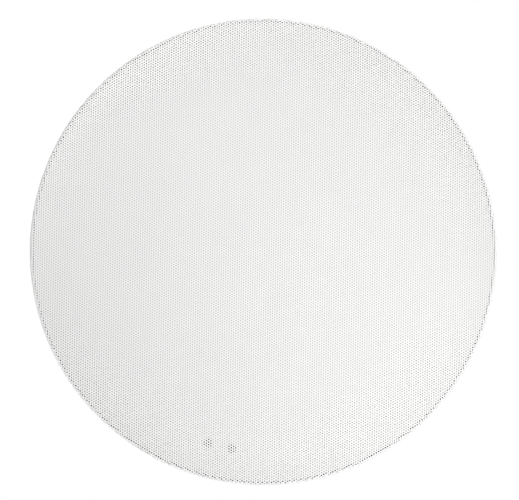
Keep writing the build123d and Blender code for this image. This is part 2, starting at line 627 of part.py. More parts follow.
def cross_recess(head_z, depth_up):
    """A cross-shaped driver recess, cut up or down from a screw head's face."""
    low, high = sorted((head_z, head_z + depth_up))
    slot = block(RECESS_LENGTH, RECESS_WIDTH, low, high)
    return slot + Rot(0, 0, 90) * slot


def pan_screw(seat_z, length, up):
    """A self-tapping screw at the origin: its head seats at a height and its shank runs up or down."""
    way = 1 if up else -1
    head = disc(SCREW_HEAD_DIAMETER / 2, *sorted((seat_z, seat_z - way * SCREW_HEAD_HEIGHT)))
    face = head.faces().sort_by(Axis.Z)[0 if up else -1]
    head = fillet(face.edges(), SCREW_HEAD_HEIGHT / 2)
    shank = disc(SCREW_RADIUS, *sorted((seat_z, seat_z + way * length)))
    tip = shank.faces().sort_by(Axis.Z)[-1 if up else 0]
    shank = chamfer(tip.edges(), SCREW_TIP)
    return head + shank - cross_recess(seat_z - way * SCREW_HEAD_HEIGHT, way * RECESS_DEPTH)


def screw_group(places, seat_z, length, up):
    """Like screws at several places, as separate solids."""
    screw = pan_screw(seat_z, length, up)
    return solids_of(*[Pos(x, y, 0) * screw for x, y in places])


def make_clamp_screw():
    """A clamp's long screw at the origin, with its head under the baffle."""
    seat_z = BAFFLE_FRONT_Z - CLAMP_HEAD_GAP
    head = disc(CLAMP_HEAD_DIAMETER / 2, seat_z - CLAMP_HEAD_HEIGHT, seat_z)
    head = fillet(head.faces().sort_by(Axis.Z)[0].edges(), CLAMP_HEAD_HEIGHT / 2)
    shank = disc(CLAMP_SCREW_DIAMETER / 2, seat_z, TOWER_TOP_Z + CLAMP_SCREW_END)
    shank = chamfer(shank.faces().sort_by(Axis.Z)[-1].edges(), SCREW_TIP)
    return head + shank - cross_recess(seat_z - CLAMP_HEAD_HEIGHT, RECESS_DEPTH)


def make_clamp_nut():
    """A clamp's round brass nut at the origin: its flange bears on the arm's hub."""
    flange_top = NUT_FLANGE_Z + NUT_FLANGE_THICKNESS
    nut = disc(NUT_RADIUS, NUT_FLANGE_Z - NUT_LENGTH, NUT_FLANGE_Z)
    nut += disc(NUT_FLANGE_RADIUS, NUT_FLANGE_Z, flange_top)
    return nut - disc(CLAMP_SCREW_DIAMETER / 2 + RUNNING_GAP, NUT_FLANGE_Z - NUT_LENGTH, flange_top)


def make_clamp_arm():
    """A clamp's dog-leg arm at the origin, pointing along +X, with a grooved heel at its tip."""
    half = ARM_WIDTH / 2
    plan = Circle(HUB_RADIUS) + Circle(half).moved(Location((ARM_LENGTH, 0)))
    plan += Rectangle(ARM_LENGTH, ARM_WIDTH).moved(Location((ARM_LENGTH / 2, 0)))
    arm = Pos(0, 0, ARM_REST_Z) * extrude(plan, ARM_HEIGHT)

    tip = ARM_LENGTH + half
    top = ARM_REST_Z + ARM_HEIGHT
    slope = [(HUB_RADIUS, top), (tip, top), (tip, ARM_REST_Z + ARM_TIP_HEIGHT)]
    arm -= extrude(Plane.XZ * make_face(Polyline(*slope, close=True)), ARM_WIDTH, both=True)

    span = tip - ARM_HEEL_LENGTH - HUB_RADIUS
    relief_at = (HUB_RADIUS + span / 2, 0)
    arm -= block(span, ARM_WIDTH, ARM_REST_Z, ARM_REST_Z + ARM_HEEL_HEIGHT, relief_at)

    groove_step = ARM_HEEL_LENGTH / (HEEL_GROOVE_COUNT + 1)
    for k in range(HEEL_GROOVE_COUNT):
        groove_at = (tip - ARM_HEEL_LENGTH + (k + 1) * groove_step, 0)
        arm -= block(HEEL_GROOVE_WIDTH, ARM_WIDTH, ARM_REST_Z, ARM_REST_Z + HEEL_GROOVE_DEPTH, groove_at)

    pocket_length = ARM_LENGTH - HUB_RADIUS
    pocket_width = ARM_WIDTH - 2 * ARM_POCKET_WALL
    pocket_floor = ARM_REST_Z + ARM_TIP_HEIGHT - ARM_POCKET_DEPTH
    pocket_at = (HUB_RADIUS + pocket_length / 2 + ARM_POCKET_WALL, 0)
    arm -= block(pocket_length, pocket_width, pocket_floor, top, pocket_at, pocket_width / 3)
    return arm - disc(NUT_RADIUS + RUNNING_GAP, ARM_REST_Z, top)


def make_woofer_basket():
    """The pressed basket: rim, sloping spokes, spider shelf and magnet seat, with windows between spokes."""
    half = BASKET_SHEET / 2
    cup_radius = BASKET_SHELF_RADIUS - BASKET_SHELF_WIDTH
    path = [
        (WOOFER_RIM_RADIUS, RIM_FRONT_Z + half),
        (BASKET_MOUTH_RADIUS, RIM_FRONT_Z + half),
        SHOULDER_AT,
        SHELF_AT,
        (cup_radius, SHELF_AT[1]),
        (cup_radius - BASKET_CUP_TAPER, SEAT_BACK_Z - half),
        (BASKET_THROAT_RADIUS, SEAT_BACK_Z - half),
    ]
    basket = turned(pressed_sheet(path, BASKET_BEND_RADIUS, BASKET_SHEET))

    inner = BASKET_SHELF_RADIUS + BASKET_WINDOW_MARGIN
    outer = SHOULDER_AT[0] - BASKET_WINDOW_MARGIN
    edge = BASKET_WINDOW_ANGLE / 2
    sides = make_face(Polyline((0, 0), polar(2 * outer, -edge), polar(2 * outer, edge), close=True))
    sector = (Circle(outer) - Circle(inner)) & sides
    sector = fillet(sector.vertices(), BASKET_WINDOW_ROUND_SHARE * (outer - inner))
    window = Pos(0, 0, RIM_BACK_Z) * extrude(sector, SEAT_BACK_Z - RIM_BACK_Z)
    step = 360 / BASKET_WINDOW_COUNT
    cuts = [Rot(0, 0, k * step) * window for k in range(BASKET_WINDOW_COUNT)]

    hole = SCREW_RADIUS + SCREW_HOLE_GAP
    places = [polar(WOOFER_SCREW_CIRCLE_RADIUS, angle) for angle in WOOFER_SCREW_ANGLES]
    cuts += [disc(hole, RIM_FRONT_Z, RIM_BACK_Z, at) for at in places]
    basket = basket - cuts

    rivet_step = 360 / RIVET_COUNT
    rivets = [polar(RIVET_CIRCLE_RADIUS, k * rivet_step) for k in range(RIVET_COUNT)]
    seat_front = SEAT_BACK_Z - BASKET_SHEET
    return basket + [disc(RIVET_RADIUS, seat_front - RIVET_HEIGHT, SEAT_BACK_Z, at) for at in rivets]


def make_woofer_gasket():
    """The gasket between the basket's rim and the baffle, outside the surround's flange."""
    inner = SURROUND_RADIUS + MOULD_GAP
    gasket = ring(WOOFER_RIM_RADIUS - WOOFER_GASKET_INSET, inner, BAFFLE_BACK_Z, RIM_FRONT_Z)
    places = [polar(WOOFER_SCREW_CIRCLE_RADIUS, angle) for angle in WOOFER_SCREW_ANGLES]
    hole = SCREW_RADIUS + SCREW_HOLE_GAP
    return gasket - [disc(hole, BAFFLE_BACK_Z, RIM_FRONT_Z, at) for at in places]


def make_woofer_screws():
    """Screws through the basket's rim into the frame."""
    places = [polar(WOOFER_SCREW_CIRCLE_RADIUS, angle) for angle in WOOFER_SCREW_ANGLES]
    length = BASKET_SHEET + WOOFER_GASKET_THICKNESS + SCREW_BITE - SCREW_TIP
    return screw_group(places, RIM_BACK_Z, length, up=False)


def make_woofer_surround():
    """The rubber surround: a half roll that bulges forward, between two glued flanges."""
    half = SURROUND_THICKNESS / 2
    middle_z = SURROUND_BACK_Z - half
    roll = Circle(SURROUND_ROLL_RADIUS + half) - Circle(SURROUND_ROLL_RADIUS - half)
    reach = 2 * (SURROUND_ROLL_RADIUS + SURROUND_THICKNESS)
    lower = Rectangle(reach, reach).moved(Location((0, half - reach / 2)))
    section = (roll & lower).moved(Location((ROLL_CENTRE_RADIUS, middle_z)))
    lip_x = CONE_RADIUS - SURROUND_LIP_WIDTH / 2
    section += Rectangle(SURROUND_LIP_WIDTH, SURROUND_THICKNESS).moved(Location((lip_x, middle_z)))
    flange_x = ROLL_OUTER_RADIUS + SURROUND_FLANGE_WIDTH / 2
    section += Rectangle(SURROUND_FLANGE_WIDTH, SURROUND_THICKNESS).moved(Location((flange_x, middle_z)))
    return turned(section)


def cone_neck_radius():
    """Radius of the cone's neck at mid thickness, glued round the coil former."""
    return COIL_FORMER_OUTER_RADIUS + GLUE_GAP + CONE_THICKNESS / 2


def make_woofer_cone():
    """The curved cone, with a flat rim on the surround and a short neck on the coil former."""
    neck = cone_neck_radius()
    flat_end = CONE_RADIUS - SURROUND_LIP_WIDTH
    start = (flat_end, CONE_RIM_Z)
    end = (neck, CONE_NECK_Z)
    middle = ((start[0] + end[0]) / 2 - CONE_CURVE, (start[1] + end[1]) / 2 - CONE_CURVE)
    path = [
        Line((CONE_RADIUS, CONE_RIM_Z), start),
        ThreePointArc(start, middle, end),
        Line(end, (neck, CONE_NECK_Z + CONE_NECK_LENGTH)),
    ]
    return turned(trace(Curve() + path, line_width=CONE_THICKNESS))


def cone_height(radius):
    """Height of the cone's mid surface at a radius, on the arc that the cone follows."""
    x1, z1 = CONE_RADIUS - SURROUND_LIP_WIDTH, CONE_RIM_Z
    x3, z3 = cone_neck_radius(), CONE_NECK_Z
    arc = ThreePointArc((x1, z1), ((x1 + x3) / 2 - CONE_CURVE, (z1 + z3) / 2 - CONE_CURVE), (x3, z3))
    centre = arc.arc_center
    sign = 1 if centre.Y < z1 else -1
    return centre.Y + sign * math.sqrt(arc.radius ** 2 - (radius - centre.X) ** 2)


def make_dust_cap():
    """The dome over the cone's neck, which bulges forward from its glued edge."""
    edge_z = cone_height(DUST_CAP_RADIUS) - CONE_THICKNESS - DUST_CAP_THICKNESS
    crown_z = edge_z - DUST_CAP_HEIGHT
    sphere = (DUST_CAP_RADIUS ** 2 + DUST_CAP_HEIGHT ** 2) / (2 * DUST_CAP_HEIGHT)
    shell = Pos(0, 0, crown_z + sphere) * (Sphere(sphere) - Sphere(sphere - DUST_CAP_THICKNESS))
    return shell & disc(DUST_CAP_RADIUS, crown_z - DUST_CAP_THICKNESS, edge_z)


def make_coil_former():
    """The tube that carries the voice coil, from the cone's neck to the coil's far end."""
    return ring(COIL_FORMER_OUTER_RADIUS, COIL_FORMER_RADIUS, CONE_NECK_Z, COIL_TOP_Z)


def make_voice_coil():
    """The winding on the former, centred in the top plate's gap."""
    inner = COIL_FORMER_OUTER_RADIUS + GLUE_GAP
    return ring(COIL_OUTER_RADIUS, inner, COIL_BOTTOM_Z, COIL_TOP_Z)


def make_spider():
    """The corrugated suspension: flat at the former and at the shelf, with even waves between."""
    inner = COIL_FORMER_OUTER_RADIUS + GLUE_GAP
    outer = BASKET_SHELF_RADIUS - SPIDER_EDGE_GAP - BASKET_SHEET
    wave_start = inner + SPIDER_FLAT
    wave_end = BASKET_SHELF_RADIUS - BASKET_SHELF_WIDTH - SPIDER_FLAT
    middle_z = SHELF_FRONT_Z - GLUE_GAP - SPIDER_THICKNESS / 2
    half_wave = (wave_end - wave_start) / (2 * SPIDER_WAVE_COUNT)
    points = [(inner, middle_z), (wave_start, middle_z)]
    for k in range(2 * SPIDER_WAVE_COUNT):
        side = 1 if k % 2 else -1
        points.append((wave_start + (k + 0.5) * half_wave, middle_z + side * SPIDER_WAVE_HEIGHT))
    points += [(wave_end, middle_z), (outer, middle_z)]
    bends = [half_wave / 3] * (len(points) - 2)
    return turned(pressed_sheet(points, bends, SPIDER_THICKNESS))


def make_top_plate():
    """The front plate of the motor, staked to the basket's seat."""
    return ring(TOP_PLATE_RADIUS, TOP_PLATE_BORE_RADIUS, SEAT_BACK_Z, TOP_PLATE_BACK_Z)


def make_ferrite_magnet():
    """The ring magnet between the two plates."""
    return ring(FERRITE_RADIUS, FERRITE_BORE_RADIUS, TOP_PLATE_BACK_Z, FERRITE_BACK_Z)


def make_pole_yoke():
    """The back plate with its pole, in one forging with a vent through both."""
    yoke = disc(YOKE_RADIUS, FERRITE_BACK_Z, YOKE_BACK_Z)
    yoke = chamfer(yoke.faces().sort_by(Axis.Z)[-1].edges(), YOKE_EDGE_CHAMFER)
    yoke += disc(POLE_RADIUS, SEAT_BACK_Z, FERRITE_BACK_Z)
    return yoke - disc(POLE_VENT_RADIUS, SEAT_BACK_Z, YOKE_BACK_Z)


def lug_plane(lift):
    """The plane of the solder lugs' strip, on the basket spoke that faces the crossover."""
    origin = (0, LUG_AT[0] + lift * SLOPE_NORMAL[0], LUG_AT[1] + lift * SLOPE_NORMAL[1])
    return Plane(origin=origin, x_dir=(1, 0, 0), z_dir=(0, *SLOPE_NORMAL))


def make_lug_strip():
    """The insulating strip that carries the solder lugs."""
    plane = lug_plane(LUG_STRIP_LIFT)
    return extrude(plane * Rectangle(LUG_STRIP_WIDTH, LUG_STRIP_HEIGHT), LUG_STRIP_THICKNESS)


def make_solder_lugs():
    """Two lugs riveted to the strip, each with an eye for the wire."""
    plane = lug_plane(LUG_LIFT)
    lug = SlotOverall(LUG_LENGTH, LUG_WIDTH, rotation=90)
    lug -= Circle(LUG_WIDTH / 5).moved(Location((0, LUG_LENGTH / 2 - LUG_WIDTH / 2)))
    lugs = [extrude(plane * Pos(side * LUG_SPACING / 2, 0) * lug, LUG_THICKNESS) for side in (-1, 1)]
    return solids_of(*lugs)


def make_tweeter_bridge():
    """The bar across the woofer, with a ring for the tweeter's pod and a leg at each end."""
    ring_back = POD_PIVOT_Z + BRIDGE_RING_WALL
    ring_outer = BRIDGE_RING_RADIUS + BRIDGE_RING_WALL
    length = 2 * (BRIDGE_SCREW_X + SCREW_BOSS_RADIUS)
    bar_back = BRIDGE_FRONT_Z + BRIDGE_THICKNESS
    span = 2 * (BAFFLE_OPENING_RADIUS + BRIDGE_LEG_GAP)
    bridge = block(length, BRIDGE_WIDTH, BRIDGE_FRONT_Z, BAFFLE_FRONT_Z, rounding=SCREW_BOSS_RADIUS)
    bridge -= block(span, BRIDGE_WIDTH, bar_back, BAFFLE_FRONT_Z)
    bridge += disc(ring_outer, BRIDGE_FRONT_Z, ring_back)
    bridge -= disc(BRIDGE_RING_RADIUS, BRIDGE_FRONT_Z, ring_back)
    hole = SCREW_RADIUS + SCREW_HOLE_GAP
    bridge -= [disc(hole, BRIDGE_FRONT_Z, BAFFLE_FRONT_Z, at) for at in BRIDGE_SCREW_PLACES]
    pivot = Circle(POD_PIN_RADIUS + RUNNING_GAP).moved(Location((0, POD_PIVOT_Z)))
    return bridge - extrude(Plane.YZ * pivot, ring_outer, both=True)


def make_bridge_screws():
    """Screws through the bridge's legs into the frame."""
    length = BAFFLE_FRONT_Z - BRIDGE_FRONT_Z + SCREW_BITE - SCREW_TIP
    return screw_group(BRIDGE_SCREW_PLACES, BRIDGE_FRONT_Z, length, up=True)


POD_FRONT_Z = POD_PIVOT_Z - POD_FRONT_LENGTH
POD_BACK_Z = POD_PIVOT_Z + POD_BACK_LENGTH
FACEPLATE_BACK_Z = POD_FRONT_Z + FACEPLATE_THICKNESS
FACEPLATE_RADIUS = POD_RADIUS - POD_WALL - GLUE_GAP
DIAPHRAGM_RADIUS = DOME_RADIUS + 2 * DIAPHRAGM_ROLL_RADIUS + DIAPHRAGM_FLANGE_WIDTH
DIAPHRAGM_Z = FACEPLATE_BACK_Z + GLUE_GAP + DIAPHRAGM_THICKNESS / 2
TWEETER_CUP_FRONT_Z = DIAPHRAGM_Z + DIAPHRAGM_THICKNESS / 2 + GLUE_GAP
TWEETER_COIL_OUTER_RADIUS = DOME_RADIUS + TWEETER_COIL_WALL
TWEETER_CUP_BORE_RADIUS = TWEETER_COIL_OUTER_RADIUS + TWEETER_GAP
TWEETER_CUP_RADIUS = TWEETER_CUP_BORE_RADIUS + TWEETER_CUP_WALL
TWEETER_PLATE_BACK_Z = TWEETER_CUP_FRONT_Z + TWEETER_PLATE_THICKNESS
TWEETER_MAGNET_BACK_Z = TWEETER_PLATE_BACK_Z + TWEETER_MAGNET_THICKNESS
TWEETER_CUP_BACK_Z = TWEETER_MAGNET_BACK_Z + TWEETER_CUP_FLOOR


def make_tweeter_pod():
    """The pod: a cup that narrows to its back, with a trunnion pin on each side."""
    outline = [
        ((0, POD_FRONT_Z), 0),
        ((POD_RADIUS, POD_FRONT_Z), POD_EDGE_ROUND),
        ((POD_RADIUS, POD_PIVOT_Z + POD_PIN_RADIUS), POD_EDGE_ROUND),
        ((POD_BACK_RADIUS, POD_BACK_Z), POD_EDGE_ROUND),
        ((0, POD_BACK_Z), 0),
    ]
    points = [point for point, _ in outline]
    rounds = [rounding for _, rounding in outline]
    pod = turned(make_face(FilletPolyline(*points, radius=rounds, close=True)))
    pin = Circle(POD_PIN_RADIUS).moved(Location((0, POD_PIVOT_Z)))
    pin_end = BRIDGE_RING_RADIUS + BRIDGE_RING_WALL - POD_PIN_END_GAP
    pod += extrude(Plane.YZ * pin, pin_end, both=True)
    pod -= disc(FACEPLATE_RADIUS + GLUE_GAP, POD_FRONT_Z, FACEPLATE_BACK_Z + GLUE_GAP)
    inner = TWEETER_CUP_RADIUS + GLUE_GAP
    widest = max(inner, DIAPHRAGM_RADIUS + GLUE_GAP)
    pod -= disc(widest, POD_FRONT_Z, TWEETER_CUP_FRONT_Z)
    return pod - disc(inner, POD_FRONT_Z, TWEETER_CUP_BACK_Z + GLUE_GAP)


def make_tweeter_faceplate():
    """The ring round the dome, with a flared mouth."""
    section = [
        (FACEPLATE_MOUTH_RADIUS, POD_FRONT_Z),
        (FACEPLATE_RADIUS, POD_FRONT_Z),
        (FACEPLATE_RADIUS, FACEPLATE_BACK_Z),
        (FACEPLATE_THROAT_RADIUS + DIAPHRAGM_ROLL_RADIUS, FACEPLATE_BACK_Z),
    ]
    return turned(make_face(Polyline(*section, close=True)))


def make_tweeter_diaphragm():
    """The soft dome with its roll and flange, in one skin."""
    half = DIAPHRAGM_THICKNESS / 2
    sphere = (DOME_RADIUS ** 2 + DOME_HEIGHT ** 2) / (2 * DOME_HEIGHT)
    crown_z = DIAPHRAGM_Z - DOME_HEIGHT
    middle = DOME_RADIUS / 2
    middle_z = crown_z + sphere - math.sqrt(sphere ** 2 - middle ** 2)
    roll_x = DOME_RADIUS + DIAPHRAGM_ROLL_RADIUS
    roll_end = DOME_RADIUS + 2 * DIAPHRAGM_ROLL_RADIUS
    dome = trace(
        ThreePointArc((0, crown_z), (middle, middle_z), (DOME_RADIUS, DIAPHRAGM_Z)),
        line_width=DIAPHRAGM_THICKNESS,
    )
    roll = Circle(DIAPHRAGM_ROLL_RADIUS + half) - Circle(DIAPHRAGM_ROLL_RADIUS - half)
    reach = 2 * (DIAPHRAGM_ROLL_RADIUS + DIAPHRAGM_THICKNESS)
    lower = Rectangle(reach, reach).moved(Location((0, half - reach / 2)))
    section = dome + (roll & lower).moved(Location((roll_x, DIAPHRAGM_Z)))
    flange_x = roll_end + DIAPHRAGM_FLANGE_WIDTH / 2
    section += Rectangle(DIAPHRAGM_FLANGE_WIDTH, DIAPHRAGM_THICKNESS).moved(Location((flange_x, DIAPHRAGM_Z)))
    side = 2 * DIAPHRAGM_RADIUS
    whole = Rectangle(side, side).moved(Location((DIAPHRAGM_RADIUS, DIAPHRAGM_Z)))
    return turned(section & whole)


def make_tweeter_coil():
    """The tweeter's voice coil, behind the dome's edge."""
    top = TWEETER_CUP_FRONT_Z + TWEETER_COIL_HEIGHT
    return ring(TWEETER_COIL_OUTER_RADIUS, DOME_RADIUS, TWEETER_CUP_FRONT_Z, top)


def make_tweeter_pole_plate():
    """The plate on the tweeter's magnet, inside the coil."""
    return disc(DOME_RADIUS - TWEETER_GAP, TWEETER_CUP_FRONT_Z, TWEETER_PLATE_BACK_Z)


def make_tweeter_magnet():
    """The tweeter's disc magnet."""
    return disc(TWEETER_MAGNET_RADIUS, TWEETER_PLATE_BACK_Z, TWEETER_MAGNET_BACK_Z)


def make_tweeter_cup():
    """The steel cup that closes the tweeter's magnetic circuit."""
    cup = disc(TWEETER_CUP_RADIUS, TWEETER_CUP_FRONT_Z, TWEETER_CUP_BACK_Z)
    return cup - disc(TWEETER_CUP_BORE_RADIUS, TWEETER_CUP_FRONT_Z, TWEETER_MAGNET_BACK_Z)


BOARD_WIDTH = TRAY_WIDTH - 2 * (TRAY_RIM_WALL + BOARD_EDGE_GAP)
BOARD_LENGTH = TRAY_LENGTH - 2 * (TRAY_RIM_WALL + BOARD_EDGE_GAP)
BOARD_PIN_PLACES = [
    (x * (BOARD_WIDTH / 2 - BOARD_PIN_INSET), TRAY_Y + y * (BOARD_LENGTH / 2 - BOARD_PIN_INSET))
    for x in (-1, 1)
    for y in (-1, 1)
]


def make_crossover_tray():
    """The moulded tray on two hollow legs, with pins that are staked over the board."""
    at = (0, TRAY_Y)
    tray = block(TRAY_WIDTH, TRAY_LENGTH, TRAY_FLOOR_Z, TRAY_TOP_Z + TRAY_RIM_HEIGHT, at, TRAY_CORNER_ROUND)
    well_width = TRAY_WIDTH - 2 * TRAY_RIM_WALL
    well_length = TRAY_LENGTH - 2 * TRAY_RIM_WALL
    well_round = TRAY_CORNER_ROUND - TRAY_RIM_WALL
    tray -= block(well_width, well_length, TRAY_TOP_Z, TRAY_TOP_Z + TRAY_RIM_HEIGHT, at, well_round)
    tray += [disc(TRAY_LEG_RADIUS, BAFFLE_BACK_Z, TRAY_TOP_Z, leg) for leg in TRAY_SCREW_PLACES]
    hole = SCREW_RADIUS + SCREW_HOLE_GAP
    tray -= [disc(hole, BAFFLE_BACK_Z, TRAY_TOP_Z, leg) for leg in TRAY_SCREW_PLACES]
    head_z = BOARD_TOP_Z + GLUE_GAP
    tray += [disc(BOARD_PIN_HEAD_RADIUS, TRAY_FLOOR_Z, BOARD_Z, pin) for pin in BOARD_PIN_PLACES]
    tray += [disc(BOARD_PIN_RADIUS, BOARD_Z, head_z, pin) for pin in BOARD_PIN_PLACES]
    head_top_z = head_z + BOARD_PIN_HEAD_HEIGHT
    heads = [disc(BOARD_PIN_HEAD_RADIUS, head_z, head_top_z, pin) for pin in BOARD_PIN_PLACES]
    return tray + heads


def make_tray_screws():
    """Long screws down through the tray's legs into the frame."""
    length = TRAY_TOP_Z - BAFFLE_BACK_Z + SCREW_BITE - SCREW_TIP
    return screw_group(TRAY_SCREW_PLACES, TRAY_TOP_Z, length, up=False)


def make_crossover_board():
    """The circuit board, with holes for the tray's pins and room for the screw heads under it."""
    board = block(BOARD_WIDTH, BOARD_LENGTH, BOARD_Z, BOARD_TOP_Z, (0, TRAY_Y))
    return board - [disc(BOARD_PIN_RADIUS + GLUE_GAP, BOARD_Z, BOARD_TOP_Z, pin) for pin in BOARD_PIN_PLACES]


def bobbin(radius, core_radius, height, at):
    """A flanged bobbin that stands on the board."""
    top = BOARD_TOP_Z + height
    body = disc(core_radius, BOARD_TOP_Z, top, at)
    body += disc(radius, BOARD_TOP_Z, BOARD_TOP_Z + BOBBIN_FLANGE, at)
    body += disc(radius, top - BOBBIN_FLANGE, top, at)
    return body - disc(core_radius - BOBBIN_FLANGE, BOARD_TOP_Z, top, at)


def winding(radius, core_radius, height, at):
    """The wire wound between a bobbin's flanges."""
    bottom = BOARD_TOP_Z + BOBBIN_FLANGE + GLUE_GAP
    top = BOARD_TOP_Z + height - BOBBIN_FLANGE - GLUE_GAP
    return ring(radius - WINDING_INSET, core_radius + GLUE_GAP, bottom, top, at)


LOW_PASS_AT = (LOW_PASS_X, TRAY_Y + LOW_PASS_Y)
HIGH_PASS_AT = (HIGH_PASS_X, TRAY_Y + HIGH_PASS_Y)


def make_film_capacitor():
    """The boxed film capacitor."""
    at = (FILM_CAPACITOR_X, TRAY_Y + FILM_CAPACITOR_Y)
    top = BOARD_TOP_Z + FILM_CAPACITOR_HEIGHT
    body = block(FILM_CAPACITOR_LENGTH, FILM_CAPACITOR_WIDTH, BOARD_TOP_Z, top, at, FILM_CAPACITOR_ROUND)
    return fillet(body.faces().sort_by(Axis.Z)[-1].edges(), FILM_CAPACITOR_ROUND / 2)


def make_electrolytic_capacitor():
    """The capacitor can, with the rolled groove above its base."""
    low = CAN_GROOVE_PLACE - CAN_GROOVE_HEIGHT / 2
    high = CAN_GROOVE_PLACE + CAN_GROOVE_HEIGHT / 2
    neck = CAN_RADIUS - CAN_GROOVE_DEPTH
    section = [
        ((0, 0), 0),
        ((CAN_RADIUS, 0), CAN_EDGE_ROUND),
        ((CAN_RADIUS, low), 0),
        ((neck, CAN_GROOVE_PLACE), 0),
        ((CAN_RADIUS, high), 0),
        ((CAN_RADIUS, CAN_HEIGHT), CAN_EDGE_ROUND),
        ((0, CAN_HEIGHT), 0),
    ]
    points = [point for point, _ in section]
    rounds = [rounding for _, rounding in section]
    can = turned(make_face(FilletPolyline(*points, radius=rounds, close=True)))
    return Pos(CAN_X, TRAY_Y + CAN_Y, BOARD_TOP_Z) * can


def make_cement_resistor():
    """The boxed resistor."""
    at = (RESISTOR_X, TRAY_Y + RESISTOR_Y)
    top = BOARD_TOP_Z + RESISTOR_HEIGHT
    body = block(RESISTOR_LENGTH, RESISTOR_WIDTH, BOARD_TOP_Z, top, at, RESISTOR_ROUND)
    return fillet(body.faces().sort_by(Axis.Z)[-1].edges(), RESISTOR_ROUND / 2)


def contact_middle_y():
    """The middle of a contact strip: it starts under the wire's bore and ends in a tab outside the block."""
    start = WIRE_BORE_Y - WIRE_BORE_RADIUS
    end = TERMINAL_INNER_Y + CONTACT_TAB
    return (start + end) / 2, end - start


def make_terminal_block():
    """The terminal housing: lever pockets, wire bores with a lead-in, and slots for the contacts."""
    at = (0, (TERMINAL_OUTER_Y + TERMINAL_INNER_Y) / 2)
    body = block(TERMINAL_WIDTH, TERMINAL_LENGTH, BAFFLE_BACK_Z, TERMINAL_TOP_Z, at, TERMINAL_ROUND)
    pocket_width = LEVER_WIDTH + 2 * MOULD_GAP
    pocket_length = LEVER_LENGTH + 2 * MOULD_GAP
    for place in LEVER_PLACES:
        body -= block(pocket_width, pocket_length, LEVER_POCKET_Z, TERMINAL_TOP_Z, place)
    body -= [disc(WIRE_BORE_RADIUS, WIRE_BORE_Z, TERMINAL_TOP_Z, place) for place in WIRE_BORE_PLACES]
    middle_y, length = contact_middle_y()
    slot_width = CONTACT_WIDTH + 2 * CONTACT_GAP
    for x, _ in WIRE_BORE_PLACES:
        slot_top = CONTACT_Z + CONTACT_THICKNESS + CONTACT_GAP
        body -= block(slot_width, length + 2 * CONTACT_GAP, CONTACT_Z - CONTACT_GAP, slot_top, (x, middle_y))
    bite = SCREW_RADIUS + THREAD_GAP
    screw_top = BAFFLE_BACK_Z + SCREW_BITE
    return body - [disc(bite, BAFFLE_BACK_Z, screw_top, place) for place in TERMINAL_SCREW_PLACES]


def make_terminal_contacts():
    """The two contact strips, each with a tab for the inner wire."""
    middle_y, length = contact_middle_y()
    top = CONTACT_Z + CONTACT_THICKNESS
    strips = [block(CONTACT_WIDTH, length, CONTACT_Z, top, (x, middle_y)) for x, _ in WIRE_BORE_PLACES]
    return solids_of(*strips)


def make_terminal_lever(place):
    """A spring lever, which is pushed down to open its clamp."""
    lever = block(LEVER_WIDTH, LEVER_LENGTH, LEVER_Z, LEVER_Z + LEVER_HEIGHT, place)
    return fillet(lever.faces().sort_by(Axis.Z)[-1].edges(), LEVER_ROUND)


def make_terminal_screws():
    """Screws from the baffle's front up into the terminal block."""
    length = BAFFLE_THICKNESS + SCREW_BITE - SCREW_TIP
    return screw_group(TERMINAL_SCREW_PLACES, BAFFLE_FRONT_Z, length, up=True)


def at_clamp(shape, angle, turn=0.0):
    """A clamp's piece moved from the origin to its screw, and turned about it."""
    return Rot(0, 0, angle) * Pos(CLAMP_CIRCLE_RADIUS, 0, 0) * Rot(0, 0, turn) * shape


